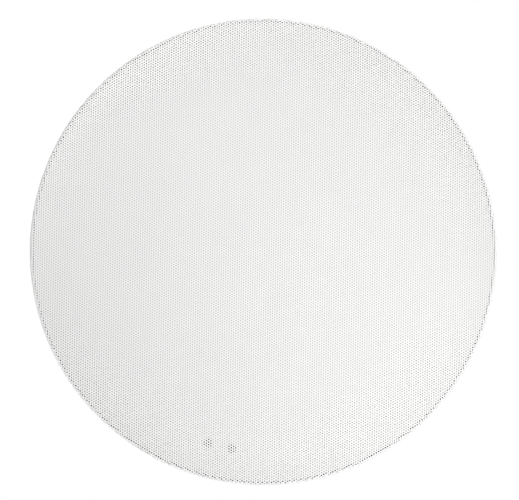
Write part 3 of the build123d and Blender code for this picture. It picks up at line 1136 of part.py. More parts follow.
def make_pieces():
    """Every piece of the speaker, by node name."""
    pieces = {
        "grille": make_grille(),
        "grille_scrim": make_scrim(),
        "grille_magnets": make_grille_magnets(),
        "frame": make_frame(),
        "ceiling_gasket": make_ceiling_gasket(),
        "woofer_basket": make_woofer_basket(),
        "woofer_gasket": make_woofer_gasket(),
        "woofer_screws": make_woofer_screws(),
        "woofer_surround": make_woofer_surround(),
        "woofer_cone": make_woofer_cone(),
        "dust_cap": make_dust_cap(),
        "coil_former": make_coil_former(),
        "voice_coil": make_voice_coil(),
        "spider": make_spider(),
        "top_plate": make_top_plate(),
        "ferrite_magnet": make_ferrite_magnet(),
        "pole_yoke": make_pole_yoke(),
        "lug_strip": make_lug_strip(),
        "solder_lugs": make_solder_lugs(),
        "tweeter_bridge": make_tweeter_bridge(),
        "bridge_screws": make_bridge_screws(),
        "tweeter_pod": make_tweeter_pod(),
        "tweeter_faceplate": make_tweeter_faceplate(),
        "tweeter_diaphragm": make_tweeter_diaphragm(),
        "tweeter_coil": make_tweeter_coil(),
        "tweeter_pole_plate": make_tweeter_pole_plate(),
        "tweeter_magnet": make_tweeter_magnet(),
        "tweeter_cup": make_tweeter_cup(),
        "crossover_tray": make_crossover_tray(),
        "tray_screws": make_tray_screws(),
        "crossover_board": make_crossover_board(),
        "low_pass_bobbin": bobbin(LOW_PASS_RADIUS, LOW_PASS_CORE_RADIUS, LOW_PASS_HEIGHT, LOW_PASS_AT),
        "low_pass_winding": winding(LOW_PASS_RADIUS, LOW_PASS_CORE_RADIUS, LOW_PASS_HEIGHT, LOW_PASS_AT),
        "high_pass_bobbin": bobbin(HIGH_PASS_RADIUS, HIGH_PASS_CORE_RADIUS, HIGH_PASS_HEIGHT, HIGH_PASS_AT),
        "high_pass_winding": winding(HIGH_PASS_RADIUS, HIGH_PASS_CORE_RADIUS, HIGH_PASS_HEIGHT, HIGH_PASS_AT),
        "film_capacitor": make_film_capacitor(),
        "electrolytic_capacitor": make_electrolytic_capacitor(),
        "cement_resistor": make_cement_resistor(),
        "terminal_block": make_terminal_block(),
        "terminal_contacts": make_terminal_contacts(),
        "terminal_screws": make_terminal_screws(),
        "terminal_lever_red": make_terminal_lever(LEVER_PLACES[0]),
        "terminal_lever_black": make_terminal_lever(LEVER_PLACES[1]),
    }
    arm, nut, screw = make_clamp_arm(), make_clamp_nut(), make_clamp_screw()
    for number, angle in enumerate(CLAMP_ANGLES, start=1):
        pieces[f"clamp_arm_{number}"] = at_clamp(arm, angle, turn=-90.0)
        pieces[f"clamp_nut_{number}"] = at_clamp(nut, angle)
        pieces[f"clamp_screw_{number}"] = at_clamp(screw, angle)
    return pieces


os.makedirs("parts", exist_ok=True)
for name, shape in make_pieces().items():
    export_step(shape, f"parts/{name}.step")
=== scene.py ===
import json
import logging
import math
from collections.abc import Sequence
from dataclasses import dataclass, field
from enum import Enum
from typing import ClassVar

import bpy
import numpy as np
from mathutils import Matrix, Vector
from mathutils.geometry import delaunay_2d_cdt


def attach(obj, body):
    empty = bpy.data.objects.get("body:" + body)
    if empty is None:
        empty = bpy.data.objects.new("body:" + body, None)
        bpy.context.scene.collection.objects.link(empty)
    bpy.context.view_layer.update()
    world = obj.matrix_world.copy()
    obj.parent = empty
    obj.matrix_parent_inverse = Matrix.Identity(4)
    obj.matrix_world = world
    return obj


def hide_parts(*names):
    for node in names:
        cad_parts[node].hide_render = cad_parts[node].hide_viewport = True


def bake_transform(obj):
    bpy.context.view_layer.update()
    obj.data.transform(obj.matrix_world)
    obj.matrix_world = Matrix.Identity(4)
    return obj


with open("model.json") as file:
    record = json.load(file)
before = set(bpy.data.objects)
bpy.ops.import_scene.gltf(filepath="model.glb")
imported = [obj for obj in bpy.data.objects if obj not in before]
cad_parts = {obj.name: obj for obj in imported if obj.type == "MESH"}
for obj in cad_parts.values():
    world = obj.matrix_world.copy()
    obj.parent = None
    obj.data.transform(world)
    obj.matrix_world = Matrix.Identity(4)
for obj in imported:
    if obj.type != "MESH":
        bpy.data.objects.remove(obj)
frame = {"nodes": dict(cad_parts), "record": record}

LOG = logging.getLogger("ceiling_speaker")
MM = 0.001
PHOTO_WIDTH = 519
PHOTO_HEIGHT = 500

# A band of Blender's wave texture at a scale of 1, in metres
WAVE_BAND = 0.314

# Sockets of a mix node that are used for colours, by number because their names repeat
MIX_SHARE, MIX_LOW, MIX_HIGH = 0, 6, 7
MIX_RESULT = 2

# What a triangulation fills, and the distance under which two points are one
CONVEX_HULL = 0
SAME_POINT = 1e-7

Colour = tuple[float, float, float]
Triple = tuple[float, float, float]
Span = tuple[float, float]
Socket = bpy.types.NodeSocket


class Body(str, Enum):
    """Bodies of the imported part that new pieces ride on."""

    FRAME = "frame"
    CONE = "cone"


class Layer(Enum):
    """The two sides of a sheet, as an inset from its outer face in sheet thicknesses."""

    OUTER = 0.0
    INNER = 1.0


# Surfaces


@dataclass
class Shell:
    """A surface in whole arrays: points in millimetres, and quads and triangles that index them."""

    points: np.ndarray
    quads: np.ndarray = field(default_factory=lambda: np.empty((0, 4), np.int64))
    triangles: np.ndarray = field(default_factory=lambda: np.empty((0, 3), np.int64))

    def moved(self, place: Sequence[float]) -> "Shell":
        """The surface shifted along X, Y and Z by so many millimetres."""
        return Shell(self.points + np.asarray(place, float), self.quads, self.triangles)

    def to_object(self, name: str, sharp_deg: float) -> bpy.types.Object:
        """Makes a mesh object, smooth but for edges sharper than an angle.

        Args:
            name: The piece's name.
            sharp_deg: The angle between two faces past which their edge stays sharp.

        Returns:
            The new object, linked to the scene, at the origin.
        """
        mesh = bpy.data.meshes.new(name)
        corners = np.concatenate([self.quads.ravel(), self.triangles.ravel()]).astype(np.int32)
        sizes = np.concatenate([np.full(len(self.quads), 4), np.full(len(self.triangles), 3)])
        starts = np.concatenate([[0], np.cumsum(sizes)[:-1]]).astype(np.int32)
        mesh.vertices.add(len(self.points))
        mesh.vertices.foreach_set("co", (self.points * MM).astype(np.float32).ravel())
        mesh.loops.add(len(corners))
        mesh.loops.foreach_set("vertex_index", corners)
        mesh.polygons.add(len(sizes))
        mesh.polygons.foreach_set("loop_start", starts)
        mesh.polygons.foreach_set("use_smooth", np.ones(len(sizes), bool))
        mesh.update(calc_edges=True)
        mesh.validate()
        mesh.set_sharp_from_angle(angle=math.radians(sharp_deg))
        piece = bpy.data.objects.new(name, mesh)
        bpy.context.scene.collection.objects.link(piece)
        return piece


def grid_quads(rows: int, columns: int, round_rows: bool, round_columns: bool) -> np.ndarray:
    """Quads of a grid of points, stored row by row.

    Args:
        rows: The number of rows.
        columns: The number of points in a row.
        round_rows: Whether the last row joins the first.
        round_columns: Whether a row's last point joins its first.

    Returns:
        The corner numbers, four to a quad, turning from rows to columns.
    """
    i, j = np.meshgrid(
        np.arange(rows if round_rows else rows - 1),
        np.arange(columns if round_columns else columns - 1),
        indexing="ij",
    )
    i, j = i.ravel(), j.ravel()
    down, right = (i + 1) % rows, (j + 1) % columns
    corners = [(i, j), (down, j), (down, right), (i, right)]
    return np.stack([row * columns + column for row, column in corners], 1)


def revolved(section: np.ndarray, steps: int) -> Shell:
    """Carries a closed section round the Z axis.

    A point is the section's radius times the turn's cosine and sine, at the section's height.

    Args:
        section: Radius and height of each corner, anticlockwise with the radius to the right.
        steps: The number of steps in a turn.

    Returns:
        The closed ring.
    """
    turn = np.linspace(0, 2 * np.pi, steps, endpoint=False)[:, None]
    radius, height = section[None, :, 0], section[None, :, 1]
    points = np.stack([radius * np.cos(turn), radius * np.sin(turn), height + 0 * turn], -1)
    return Shell(points.reshape(-1, 3), grid_quads(steps, len(section), True, True))


def thickened(path: np.ndarray, thickness: float) -> np.ndarray:
    """Closed section of a thin wall about a line.

    Each side is the line shifted by half the thickness along its normal, which is the slope
    turned a quarter, worked out by central differences.

    Args:
        path: Radius and height along the line, from the outside inwards.
        thickness: The wall's thickness.

    Returns:
        The section's corners, anticlockwise.
    """
    slope = np.gradient(path, axis=0)
    slope /= np.linalg.norm(slope, axis=1, keepdims=True)
    normal = np.stack([slope[:, 1], -slope[:, 0]], 1)
    upper, lower = path + normal * thickness / 2, path - normal * thickness / 2
    return np.vstack([upper, lower[::-1]])


def tube(path: np.ndarray, radius: np.ndarray, sides: int) -> Shell:
    """Carries a circle along an open line that climbs round the Z axis, and closes both ends.

    A point is the line's, plus the circle's radius along a direction that turns between the outward
    and the upward one.

    Args:
        path: Points along the line.
        radius: The circle's radius at each of them.
        sides: The number of sides of the circle.

    Returns:
        The closed tube.
    """
    along = np.gradient(path, axis=0)
    along /= np.linalg.norm(along, axis=1, keepdims=True)
    out = path * [1, 1, 0]
    out -= along * np.sum(out * along, 1, keepdims=True)
    out /= np.linalg.norm(out, axis=1, keepdims=True)
    up = np.cross(along, out)
    turn = np.linspace(0, 2 * np.pi, sides, endpoint=False)
    spoke = out[:, None] * np.cos(turn)[None, :, None] + up[:, None] * np.sin(turn)[None, :, None]
    points = (path[:, None] + spoke * radius[:, None, None]).reshape(-1, 3)
    fan = np.arange(1, sides - 1)
    first = np.stack([0 * fan, fan + 1, fan], 1)
    last = np.stack([0 * fan, fan, fan + 1], 1) + (len(path) - 1) * sides
    quads = grid_quads(len(path), sides, False, True)
    return Shell(points, quads, np.vstack([first, last]))


def helix(radius: float, bottom: float, top: float, lead: float, steps: int) -> np.ndarray:
    """Points of a right-hand helix about the Z axis.

    The angle grows evenly from nothing, and the height by one lead in each turn.

    Args:
        radius: The helix's radius.
        bottom: Its first height.
        top: Its last height.
        lead: The climb in one turn.
        steps: The number of steps in a turn.

    Returns:
        The points in order.
    """
    turns = (top - bottom) / lead
    angle = np.linspace(0, 2 * np.pi * turns, int(steps * turns) + 1)
    height = bottom + lead * angle / (2 * np.pi)
    return np.stack([radius * np.cos(angle), radius * np.sin(angle), height], 1)


def circle(radius: float, steps: int) -> np.ndarray:
    """So many points of a circle about the origin of a plane, anticlockwise."""
    turn = np.linspace(0, 2 * np.pi, steps, endpoint=False)
    return radius * np.stack([np.cos(turn), np.sin(turn)], 1)


def loop_edges(start: int, count: int) -> np.ndarray:
    """Edges of a closed loop of points numbered in order from a start."""
    step = np.arange(count)
    return np.stack([start + step, start + (step + 1) % count], 1)


def open_edges(faces: Sequence[np.ndarray], count: int) -> np.ndarray:
    """Directed edges that only one of a set of faces has.

    Args:
        faces: Arrays of faces, each with its own number of corners.
        count: The number of points that the faces index.

    Returns:
        First and last corner of each such edge, in its face's direction.
    """
    starts = np.concatenate([f.ravel() for f in faces])
    ends = np.concatenate([np.roll(f, -1, axis=1).ravel() for f in faces])
    lonely = ~np.isin(starts * count + ends, ends * count + starts)
    return np.stack([starts[lonely], ends[lonely]], 1)


def two_sided(sides: Sequence[np.ndarray], quads: np.ndarray, triangles: np.ndarray) -> Shell:
    """Closes a sheet by a wall along each edge that only one of its faces has.

    Args:
        sides: Points of the outer and of the inner side, in the same order.
        quads: A side's quads.
        triangles: A side's triangles.

    Returns:
        The closed surface, with the faces of the outer side turned round.
    """
    count = len(sides[0])
    start, end = open_edges([quads, triangles], count).T
    walls = np.stack([start, end, end + count, start + count], 1)
    return Shell(
        np.vstack(sides),
        np.vstack([quads[:, ::-1], quads + count, walls]),
        np.vstack([triangles[:, ::-1], triangles + count]),
    )


def inside(points: np.ndarray, starts: np.ndarray, ends: np.ndarray) -> np.ndarray:
    """Tells which points a closed outline holds, by how many edges a ray along +X crosses.

    Args:
        points: The points in a plane.
        starts: First ends of the outline's edges.
        ends: Last ends of the outline's edges.

    Returns:
        True for each point inside.
    """
    x, y = points[:, :1], points[:, 1:]
    spans = (starts[None, :, 1] > y) != (ends[None, :, 1] > y)
    rise = np.where(ends[:, 1] == starts[:, 1], 1.0, ends[:, 1] - starts[:, 1])
    meet = starts[:, 0] + (y - starts[:, 1]) / rise * (ends[:, 0] - starts[:, 0])
    return np.sum(spans & (meet > x), 1) % 2 == 1


def filled(points: np.ndarray, edges: np.ndarray) -> np.ndarray:
    """Triangles between points in a plane that keep the given edges.

    Args:
        points: The points.
        edges: First and last point of each edge to keep.

    Returns:
        Corner numbers of the triangles, which fill the points' outline.
    """
    spots = [Vector(p) for p in points.tolist()]
    found = delaunay_2d_cdt(spots, edges.tolist(), [], CONVEX_HULL, SAME_POINT)
    _, _, faces, origin, _, _ = found
    number = np.array([o[0] for o in origin])
    corners = number[np.array(faces)]
    a, b, c = points[corners[:, 0]], points[corners[:, 1]], points[corners[:, 2]]
    area = (b[:, 0] - a[:, 0]) * (c[:, 1] - a[:, 1]) - (b[:, 1] - a[:, 1]) * (c[:, 0] - a[:, 0])
    return np.where((area > 0)[:, None], corners, corners[:, ::-1])


# Finishes


def scaled(colour: Colour, share: float) -> Colour:
    """A colour made lighter or darker by a share, kept within 0 and 1."""
    return tuple(min(1.0, max(0.0, c * share)) for c in colour)


def mixed(tree: bpy.types.NodeTree, share: Socket, low: Socket, high: Socket) -> Socket:
    """Mixes two shaders.

    Args:
        tree: The nodes that they belong to.
        share: The share of the second one.
        low: The first shader.
        high: The second shader.

    Returns:
        The mixed shader.
    """
    node = tree.nodes.new("ShaderNodeMixShader")
    for source, socket in zip((share, low, high), node.inputs):
        tree.links.new(source, socket)
    return node.outputs[0]


class Nodes:
    """The nodes of one material, with its shader and Object coordinates at hand."""

    def __init__(self, name: str) -> None:
        """Starts a material.

        Args:
            name: The material's name.
        """
        self.material = bpy.data.materials.new(name)
        self.material.use_nodes = True
        self.tree = self.material.node_tree
        self.shader = self.tree.nodes["Principled BSDF"]
        self.place: Socket = self.add("ShaderNodeTexCoord").outputs["Object"]

    def add(self, kind: str, **settings: object) -> bpy.types.ShaderNode:
        """Adds a node and sets its properties.

        Args:
            kind: The node's type.
            **settings: Its properties by name.

        Returns:
            The node.
        """
        node = self.tree.nodes.new(kind)
        for name, value in settings.items():
            setattr(node, name, value)
        return node

    def feed(self, node: bpy.types.ShaderNode, **inputs: object) -> bpy.types.ShaderNode:
        """Sets a node's inputs to values, or links them to sockets.

        Args:
            node: The node.
            **inputs: A value or a socket for each input, by name with _ for a space.

        Returns:
            The same node.
        """
        for name, value in inputs.items():
            socket = node.inputs[name.replace("_", " ")]
            if isinstance(value, bpy.types.NodeSocket):
                self.tree.links.new(value, socket)
            else:
                socket.default_value = value
        return node

    def noise(self, size_mm: float, detail: float) -> Socket:
        """Smooth noise.

        Args:
            size_mm: The size of a wave.
            detail: How many finer layers it has.

        Returns:
            The noise from 0 to 1.
        """
        node = self.add("ShaderNodeTexNoise")
        inputs = {"Vector": self.place, "Scale": 1 / (size_mm * MM), "Detail": detail}
        return self.feed(node, **inputs).outputs[0]

    def streaks(self, waves: Triple, detail: float) -> Socket:
        """Smooth noise that is drawn out along some axes.

        Args:
            waves: The number of waves in a metre along X, Y and Z.
            detail: How many finer layers it has.

        Returns:
            The noise from 0 to 1.
        """
        place = self.feed(self.add("ShaderNodeMapping"), Vector=self.place, Scale=waves)
        node = self.add("ShaderNodeTexNoise")
        inputs = {"Vector": place.outputs["Vector"], "Scale": 1.0, "Detail": detail}
        return self.feed(node, **inputs).outputs[0]

    def cells(self, size_mm: float) -> Socket:
        """Distance from the nearest of scattered points, one in so many millimetres."""
        node = self.add("ShaderNodeTexVoronoi", feature="F1")
        return self.feed(node, Vector=self.place, Scale=1 / (size_mm * MM)).outputs["Distance"]

    def bands(self, band_mm: float, **settings: str) -> Socket:
        """Sine bands of so many millimetres, or rings where the settings say so."""
        node = self.add("ShaderNodeTexWave", **settings)
        return self.feed(node, Vector=self.place, Scale=WAVE_BAND / (band_mm * MM)).outputs["Fac"]

    def maths(self, operation: str, first: Socket, second: Socket | float) -> Socket:
        """Joins two numbers by an operation.

        Args:
            operation: The operation's name.
            first: The first number.
            second: The second one, as a socket or a value.

        Returns:
            The result.
        """
        node = self.add("ShaderNodeMath", operation=operation)
        self.tree.links.new(first, node.inputs[0])
        if isinstance(second, bpy.types.NodeSocket):
            self.tree.links.new(second, node.inputs[1])
        else:
            node.inputs[1].default_value = second
        return node.outputs[0]

    def spread(self, share: Socket, span: Span, low: float = 0.0, high: float = 1.0) -> Socket:
        """A number that goes from low to high as a share goes over a span.

        Args:
            share: The share.
            span: Where the number starts and where it stops changing.
            low: The number at the start.
            high: The number at the end.

        Returns:
            The number.
        """
        node = self.add("ShaderNodeMapRange")
        inputs = {"From_Min": span[0], "From_Max": span[1], "To_Min": low, "To_Max": high}
        return self.feed(node, Value=share, **inputs).outputs["Result"]

    def tinted(self, share: Socket, low: Colour, high: Colour) -> Socket:
        """A colour that goes from low to high with a share.

        Args:
            share: The share, from 0 to 1.
            low: The colour at 0.
            high: The colour at 1.

        Returns:
            The colour.
        """
        node = self.add("ShaderNodeMix", data_type="RGBA")
        self.tree.links.new(share, node.inputs[MIX_SHARE])
        node.inputs[MIX_LOW].default_value = (*low, 1.0)
        node.inputs[MIX_HIGH].default_value = (*high, 1.0)
        return node.outputs[MIX_RESULT]

    def raised(self, height: Socket, depth_mm: float) -> None:
        """Bumps the surface.

        Args:
            height: The height from 0 to 1.
            depth_mm: What a height of 1 stands for.
        """
        node = self.add("ShaderNodeBump")
        self.feed(node, Height=height, Distance=depth_mm * MM, Strength=1.0)
        self.feed(self.shader, Normal=node.outputs["Normal"])


@dataclass(frozen=True)
class Finish:
    """A finish with a cloudy tone, a fine grain and an uneven gloss.

    Attributes:
        colour: The mean colour.
        roughness: The mean roughness.
        metallic: 1 for bare metal.
        tone: The share by which the colour varies; in woven cloth, the depth of the painted shade
            between the threads.
        cloud_mm: The size of the tone's clouds.
        grain_mm: The size of the grain.
        depth_mm: The depth of the grain.
        specular: The strength of the reflection of what isn't metal.
        WEAR: The part of a noise over which the gloss changes.
        DULLER: The least and the most roughness, as shares of the mean.
    """

    WEAR: ClassVar[Span] = (0.3, 0.7)
    DULLER: ClassVar[Span] = (0.9, 1.12)

    colour: Colour
    roughness: float
    metallic: float = 0.0
    tone: float = 0.06
    cloud_mm: float = 9.0
    grain_mm: float = 0.5
    depth_mm: float = 0.01
    specular: float = 0.5

    def shaded(self, nodes: Nodes, share: Socket, low: float, high: float) -> Socket:
        """The mean colour times a number that goes from low to high with a share."""
        return nodes.tinted(share, scaled(self.colour, low), scaled(self.colour, high))

    def height(self, nodes: Nodes) -> Socket:
        """The grain's height: noise at the grain's size."""
        return nodes.noise(self.grain_mm, detail=3.0)

    def paint(self, nodes: Nodes) -> Socket:
        """The colour: a cloudy tone about the mean."""
        cloud = nodes.noise(self.cloud_mm, detail=4.0)
        return self.shaded(nodes, cloud, 1 - self.tone, 1 + self.tone)

    def gloss(self, nodes: Nodes) -> Socket:
        """The roughness: a slow noise, half the clouds' size, about the mean."""
        least, most = (min(1.0, share * self.roughness) for share in self.DULLER)
        return nodes.spread(nodes.noise(self.cloud_mm / 2, detail=5.0), self.WEAR, least, most)

    def extras(self, shader: bpy.types.ShaderNode) -> None:
        """Sets values of the shader that only some finishes need."""

    def material(self, name: str) -> bpy.types.Material:
        """Makes the material.

        Args:
            name: The material's name.

        Returns:
            The material.
        """
        nodes = Nodes(name)
        nodes.feed(nodes.shader, Metallic=self.metallic, Specular_IOR_Level=self.specular)
        nodes.feed(nodes.shader, Base_Color=self.paint(nodes), Roughness=self.gloss(nodes))
        nodes.raised(self.height(nodes), self.depth_mm)
        self.extras(nodes.shader)
        return nodes.material


@dataclass(frozen=True)
class PowderCoat(Finish):
    """Baked powder on steel: a fine orange peel, matt, with hardly any tone."""

    FINER: ClassVar[float] = 4.0

    def height(self, nodes: Nodes) -> Socket:
        """Orange peel: rounded cells with a finer noise over them."""
        peel = nodes.cells(self.grain_mm)
        return nodes.maths("ADD", peel, nodes.noise(self.grain_mm / self.FINER, detail=2.0))


@dataclass(frozen=True)
class Moulded(Finish):
    """Moulded plastic from a spark-eroded mould: an even fine pitting."""

    FINER: ClassVar[float] = 2.7

    def height(self, nodes: Nodes) -> Socket:
        """Pitting: cells of two sizes added."""
        coarse = nodes.cells(self.grain_mm)
        return nodes.maths("ADD", coarse, nodes.cells(self.grain_mm / self.FINER))


@dataclass(frozen=True)
class Plated(Finish):
    """Plated steel: fine drawn lines, with a faint yellow and blue in the plating."""

    LINES: ClassVar[Triple] = (60.0, 60.0, 2500.0)

    warm: Colour = (0.74, 0.70, 0.56)

    def height(self, nodes: Nodes) -> Socket:
        """Drawn lines: noise with many more waves along Z than across."""
        return nodes.streaks(self.LINES, detail=2.0)

    def paint(self, nodes: Nodes) -> Socket:
        """The colour: clouds between the cool and the warm tint of the plating."""
        return nodes.tinted(nodes.noise(self.cloud_mm, detail=3.0), self.colour, self.warm)


@dataclass(frozen=True)
class Turned(Plated):
    """Plated steel faced on a lathe: fine rings about the axis."""

    DUST_MM: ClassVar[float] = 1 / 3

    def height(self, nodes: Nodes) -> Socket:
        """Tool marks: rings about the Z axis under a fine noise."""
        marks = nodes.bands(self.grain_mm, wave_type="RINGS", rings_direction="Z")
        return nodes.maths("ADD", marks, nodes.noise(self.DUST_MM, detail=2.0))


@dataclass(frozen=True)
class Woven(Finish):
    """Plain-woven cloth: two sets of threads across each other, with a soft sheen."""

    thread_mm: float = 0.3
    sheen: float = 0.2

    def threads(self, nodes: Nodes) -> Socket:
        """The weave: the product of sine bands along X and along Y, two threads to a band."""
        ways = [nodes.bands(2 * self.thread_mm, bands_direction=axis) for axis in "XY"]
        return nodes.maths("MULTIPLY", *ways)

    def height(self, nodes: Nodes) -> Socket:
        """The weave with loose fibres over it."""
        return nodes.maths("ADD", self.threads(nodes), nodes.noise(self.grain_mm, detail=3.0))

    def paint(self, nodes: Nodes) -> Socket:
        """The colour: the mean on the threads, with painted shade between them."""
        # painted shade: the colour drops by the tone where the threads dip
        return self.shaded(nodes, self.threads(nodes), 1 - self.tone, 1.0)

    def extras(self, shader: bpy.types.ShaderNode) -> None:
        """Gives the cloth its sheen."""
        shader.inputs["Sheen Weight"].default_value = self.sheen


@dataclass(frozen=True)
class Rubber(Finish):
    """Black rubber with a pale bloom in clouds."""

    SETTLED: ClassVar[Span] = (0.35, 0.85)

    bloom: Colour = (0.10, 0.10, 0.105)

    def paint(self, nodes: Nodes) -> Socket:
        """The colour: the bloom lies in soft clouds on the black."""
        cloud = nodes.spread(nodes.noise(self.cloud_mm, detail=6.0), self.SETTLED)
        return nodes.tinted(cloud, self.colour, self.bloom)


@dataclass(frozen=True)
class Foam(Finish):
    """Closed-cell foam, cut to a strip."""

    # painted shade: colour shares in the cells' hollows and on their walls
    SHADED_HOLLOW_TO_LIT_WALL: ClassVar[Span] = (0.6, 1.35)

    def height(self, nodes: Nodes) -> Socket:
        """Cut cells: hollows at the grain's size, as the square of the distance from their middles."""
        return nodes.maths("POWER", nodes.cells(self.grain_mm), 2.0)

    def paint(self, nodes: Nodes) -> Socket:
        """The colour: painted shade in the hollows of the cells, paler on their walls."""
        return self.shaded(nodes, nodes.cells(self.grain_mm), *self.SHADED_HOLLOW_TO_LIT_WALL)


@dataclass(frozen=True)
class Speckled(Finish):
    """A pressed powder, such as ferrite or cement, with fine pale and dark specks."""

    CRISP: ClassVar[Span] = (0.35, 0.65)

    fleck: float = 0.5

    def paint(self, nodes: Nodes) -> Socket:
        """The colour: specks at the grain's size about the mean."""
        specks = nodes.spread(nodes.noise(self.grain_mm, detail=2.0), self.CRISP)
        return self.shaded(nodes, specks, 1 - self.fleck, 1 + self.fleck)


@dataclass(frozen=True)
class Laminate(Finish):
    """A pressed laminate with streaks along X."""

    FIBRES: ClassVar[Triple] = (80.0, 900.0, 900.0)
    DARK_TO_PALE: ClassVar[Span] = (0.6, 1.4)

    def paint(self, nodes: Nodes) -> Socket:
        """The colour: streaks, which are noise with few waves along X."""
        return self.shaded(nodes, nodes.streaks(self.FIBRES, detail=4.0), *self.DARK_TO_PALE)


@dataclass(frozen=True)
class SolderMask(Finish):
    """A circuit board's lacquer, paler where copper runs under it."""

    BRICK_TRACKS: ClassVar[float] = 4.0
    EDGE: ClassVar[Span] = (0.42, 0.46)
    BARE_TO_COPPER: ClassVar[Span] = (0.8, 1.5)

    track_mm: float = 6.0

    def paint(self, nodes: Nodes) -> Socket:
        """The colour: tracks along X, broken by square cells, show through the lacquer.

        Args:
            nodes: The material's nodes.

        Returns:
            The colour.
        """
        bands = nodes.bands(self.track_mm, bands_direction="Y")
        node = nodes.add("ShaderNodeTexBrick", offset=0.5)
        scale = 1 / (self.BRICK_TRACKS * self.track_mm * MM)
        brick = nodes.feed(node, Vector=nodes.place, Scale=scale).outputs["Fac"]
        tracks = nodes.spread(nodes.maths("SUBTRACT", bands, brick), self.EDGE)
        return self.shaded(nodes, tracks, *self.BARE_TO_COPPER)


@dataclass(frozen=True)
class Lacquered(Finish):
    """Enamelled wire: a clear coat over the metal."""

    coat: float = 0.6
    coat_roughness: float = 0.15

    def extras(self, shader: bpy.types.ShaderNode) -> None:
        """Lays the clear enamel over the wire."""
        shader.inputs["Coat Weight"].default_value = self.coat
        shader.inputs["Coat Roughness"].default_value = self.coat_roughness


FINISHES: dict[str, Finish] = {
    "grille_white": PowderCoat(
        (0.93, 0.93, 0.925), 0.6, tone=0.01, cloud_mm=30.0, grain_mm=0.25, depth_mm=0.004,
    ),
    # woven cloth: its tone is the depth of painted shade between the threads
    "scrim_white": Woven(
        (0.71, 0.71, 0.702), 0.95, tone=0.12, grain_mm=0.1, depth_mm=0.02, thread_mm=0.22,
    ),
    "magnet_nickel": Plated((0.66, 0.65, 0.63), 0.22, 1.0, depth_mm=0.002, warm=(0.70, 0.68, 0.63)),
    "frame_black": Moulded(
        (0.034, 0.034, 0.036), 0.62, tone=0.18, cloud_mm=14.0, grain_mm=0.45, depth_mm=0.02,
    ),
    "foam_grey": Foam((0.12, 0.12, 0.125), 0.95, grain_mm=0.7, depth_mm=0.18),
    "arm_black": Moulded(
        (0.042, 0.042, 0.044), 0.5, tone=0.22, cloud_mm=5.0, grain_mm=0.6, depth_mm=0.025,
    ),
    "nut_brass": Plated((0.70, 0.50, 0.22), 0.3, 1.0, depth_mm=0.006, warm=(0.80, 0.62, 0.32)),
    "screw_zinc": Plated((0.63, 0.64, 0.64), 0.3, 1.0, cloud_mm=3.0, depth_mm=0.006),
    "screw_black": Finish((0.045, 0.045, 0.047), 0.42, 0.3, tone=0.2, cloud_mm=2.0, depth_mm=0.01),
    "basket_black": PowderCoat(
        (0.038, 0.038, 0.04), 0.4, tone=0.12, cloud_mm=18.0, grain_mm=0.9, depth_mm=0.02,
    ),
    "gasket_black": Foam((0.05, 0.05, 0.05), 0.95, grain_mm=0.5, depth_mm=0.1),
    "surround_rubber": Rubber(
        (0.03, 0.03, 0.032), 0.55, cloud_mm=20.0, grain_mm=0.3, depth_mm=0.008,
    ),
    "cone_poly": Finish(
        (0.06, 0.06, 0.064), 0.42, tone=0.15, cloud_mm=12.0, grain_mm=0.8, depth_mm=0.03,
    ),
    "former_aluminium": Plated(
        (0.72, 0.72, 0.73), 0.35, 1.0, depth_mm=0.004, warm=(0.78, 0.78, 0.78),
    ),
    "copper_wire": Lacquered(
        (0.62, 0.27, 0.13), 0.3, 0.9, tone=0.2, cloud_mm=2.5, grain_mm=0.4, depth_mm=0.006,
    ),
    # woven cloth: its tone is the depth of painted shade between the threads
    "spider_cloth": Woven(
        (0.66, 0.46, 0.18), 0.8, tone=0.35, grain_mm=0.3, depth_mm=0.12, thread_mm=0.45,
    ),
    "motor_steel": Turned(
        (0.50, 0.51, 0.52), 0.36, 1.0, cloud_mm=16.0, depth_mm=0.006, warm=(0.58, 0.57, 0.53),
    ),
    "ferrite": Speckled((0.075, 0.075, 0.08), 0.6, grain_mm=0.35, depth_mm=0.02, fleck=0.3),
    "phenolic": Laminate((0.26, 0.13, 0.06), 0.5, grain_mm=0.4, depth_mm=0.01),
    "tinned_lug": Plated(
        (0.68, 0.68, 0.66), 0.36, 1.0, cloud_mm=2.0, depth_mm=0.008, warm=(0.74, 0.73, 0.70),
    ),
    "tweeter_black": Moulded(
        (0.034, 0.034, 0.036), 0.55, tone=0.15, cloud_mm=8.0, grain_mm=0.35, depth_mm=0.012,
    ),
    # woven cloth: its tone is the depth of painted shade between the threads
    "dome_silk": Woven(
        (0.09, 0.09, 0.10), 0.6, tone=0.4, grain_mm=0.2, depth_mm=0.04, thread_mm=0.25, sheen=0.4,
    ),
    "tray_black": Moulded(
        (0.045, 0.045, 0.047), 0.58, tone=0.18, cloud_mm=9.0, grain_mm=0.5, depth_mm=0.02,
    ),
    "board_green": SolderMask((0.025, 0.15, 0.06), 0.28, grain_mm=0.8, depth_mm=0.015),
    "bobbin_white": Moulded(
        (0.74, 0.73, 0.68), 0.5, tone=0.05, cloud_mm=4.0, grain_mm=0.4, depth_mm=0.01,
    ),
    "film_red": Finish(
        (0.40, 0.045, 0.04), 0.3, tone=0.08, cloud_mm=5.0, grain_mm=1.2, depth_mm=0.03,
    ),
    "can_sleeve": Finish(
        (0.03, 0.045, 0.12), 0.25, tone=0.1, cloud_mm=4.0, grain_mm=1.5, depth_mm=0.03,
    ),
    "resistor_cement": Speckled((0.74, 0.72, 0.67), 0.85, grain_mm=0.3, depth_mm=0.05, fleck=0.12),
    "terminal_black": Moulded(
        (0.034, 0.034, 0.036), 0.5, tone=0.18, cloud_mm=5.0, grain_mm=0.35, depth_mm=0.012,
    ),
    "lever_red": Finish(
        (0.58, 0.03, 0.025), 0.3, tone=0.08, cloud_mm=3.0, grain_mm=0.8, depth_mm=0.012,
    ),
    "lever_black": Finish(
        (0.03, 0.03, 0.032), 0.3, tone=0.15, cloud_mm=3.0, grain_mm=0.8, depth_mm=0.012,
    ),
}


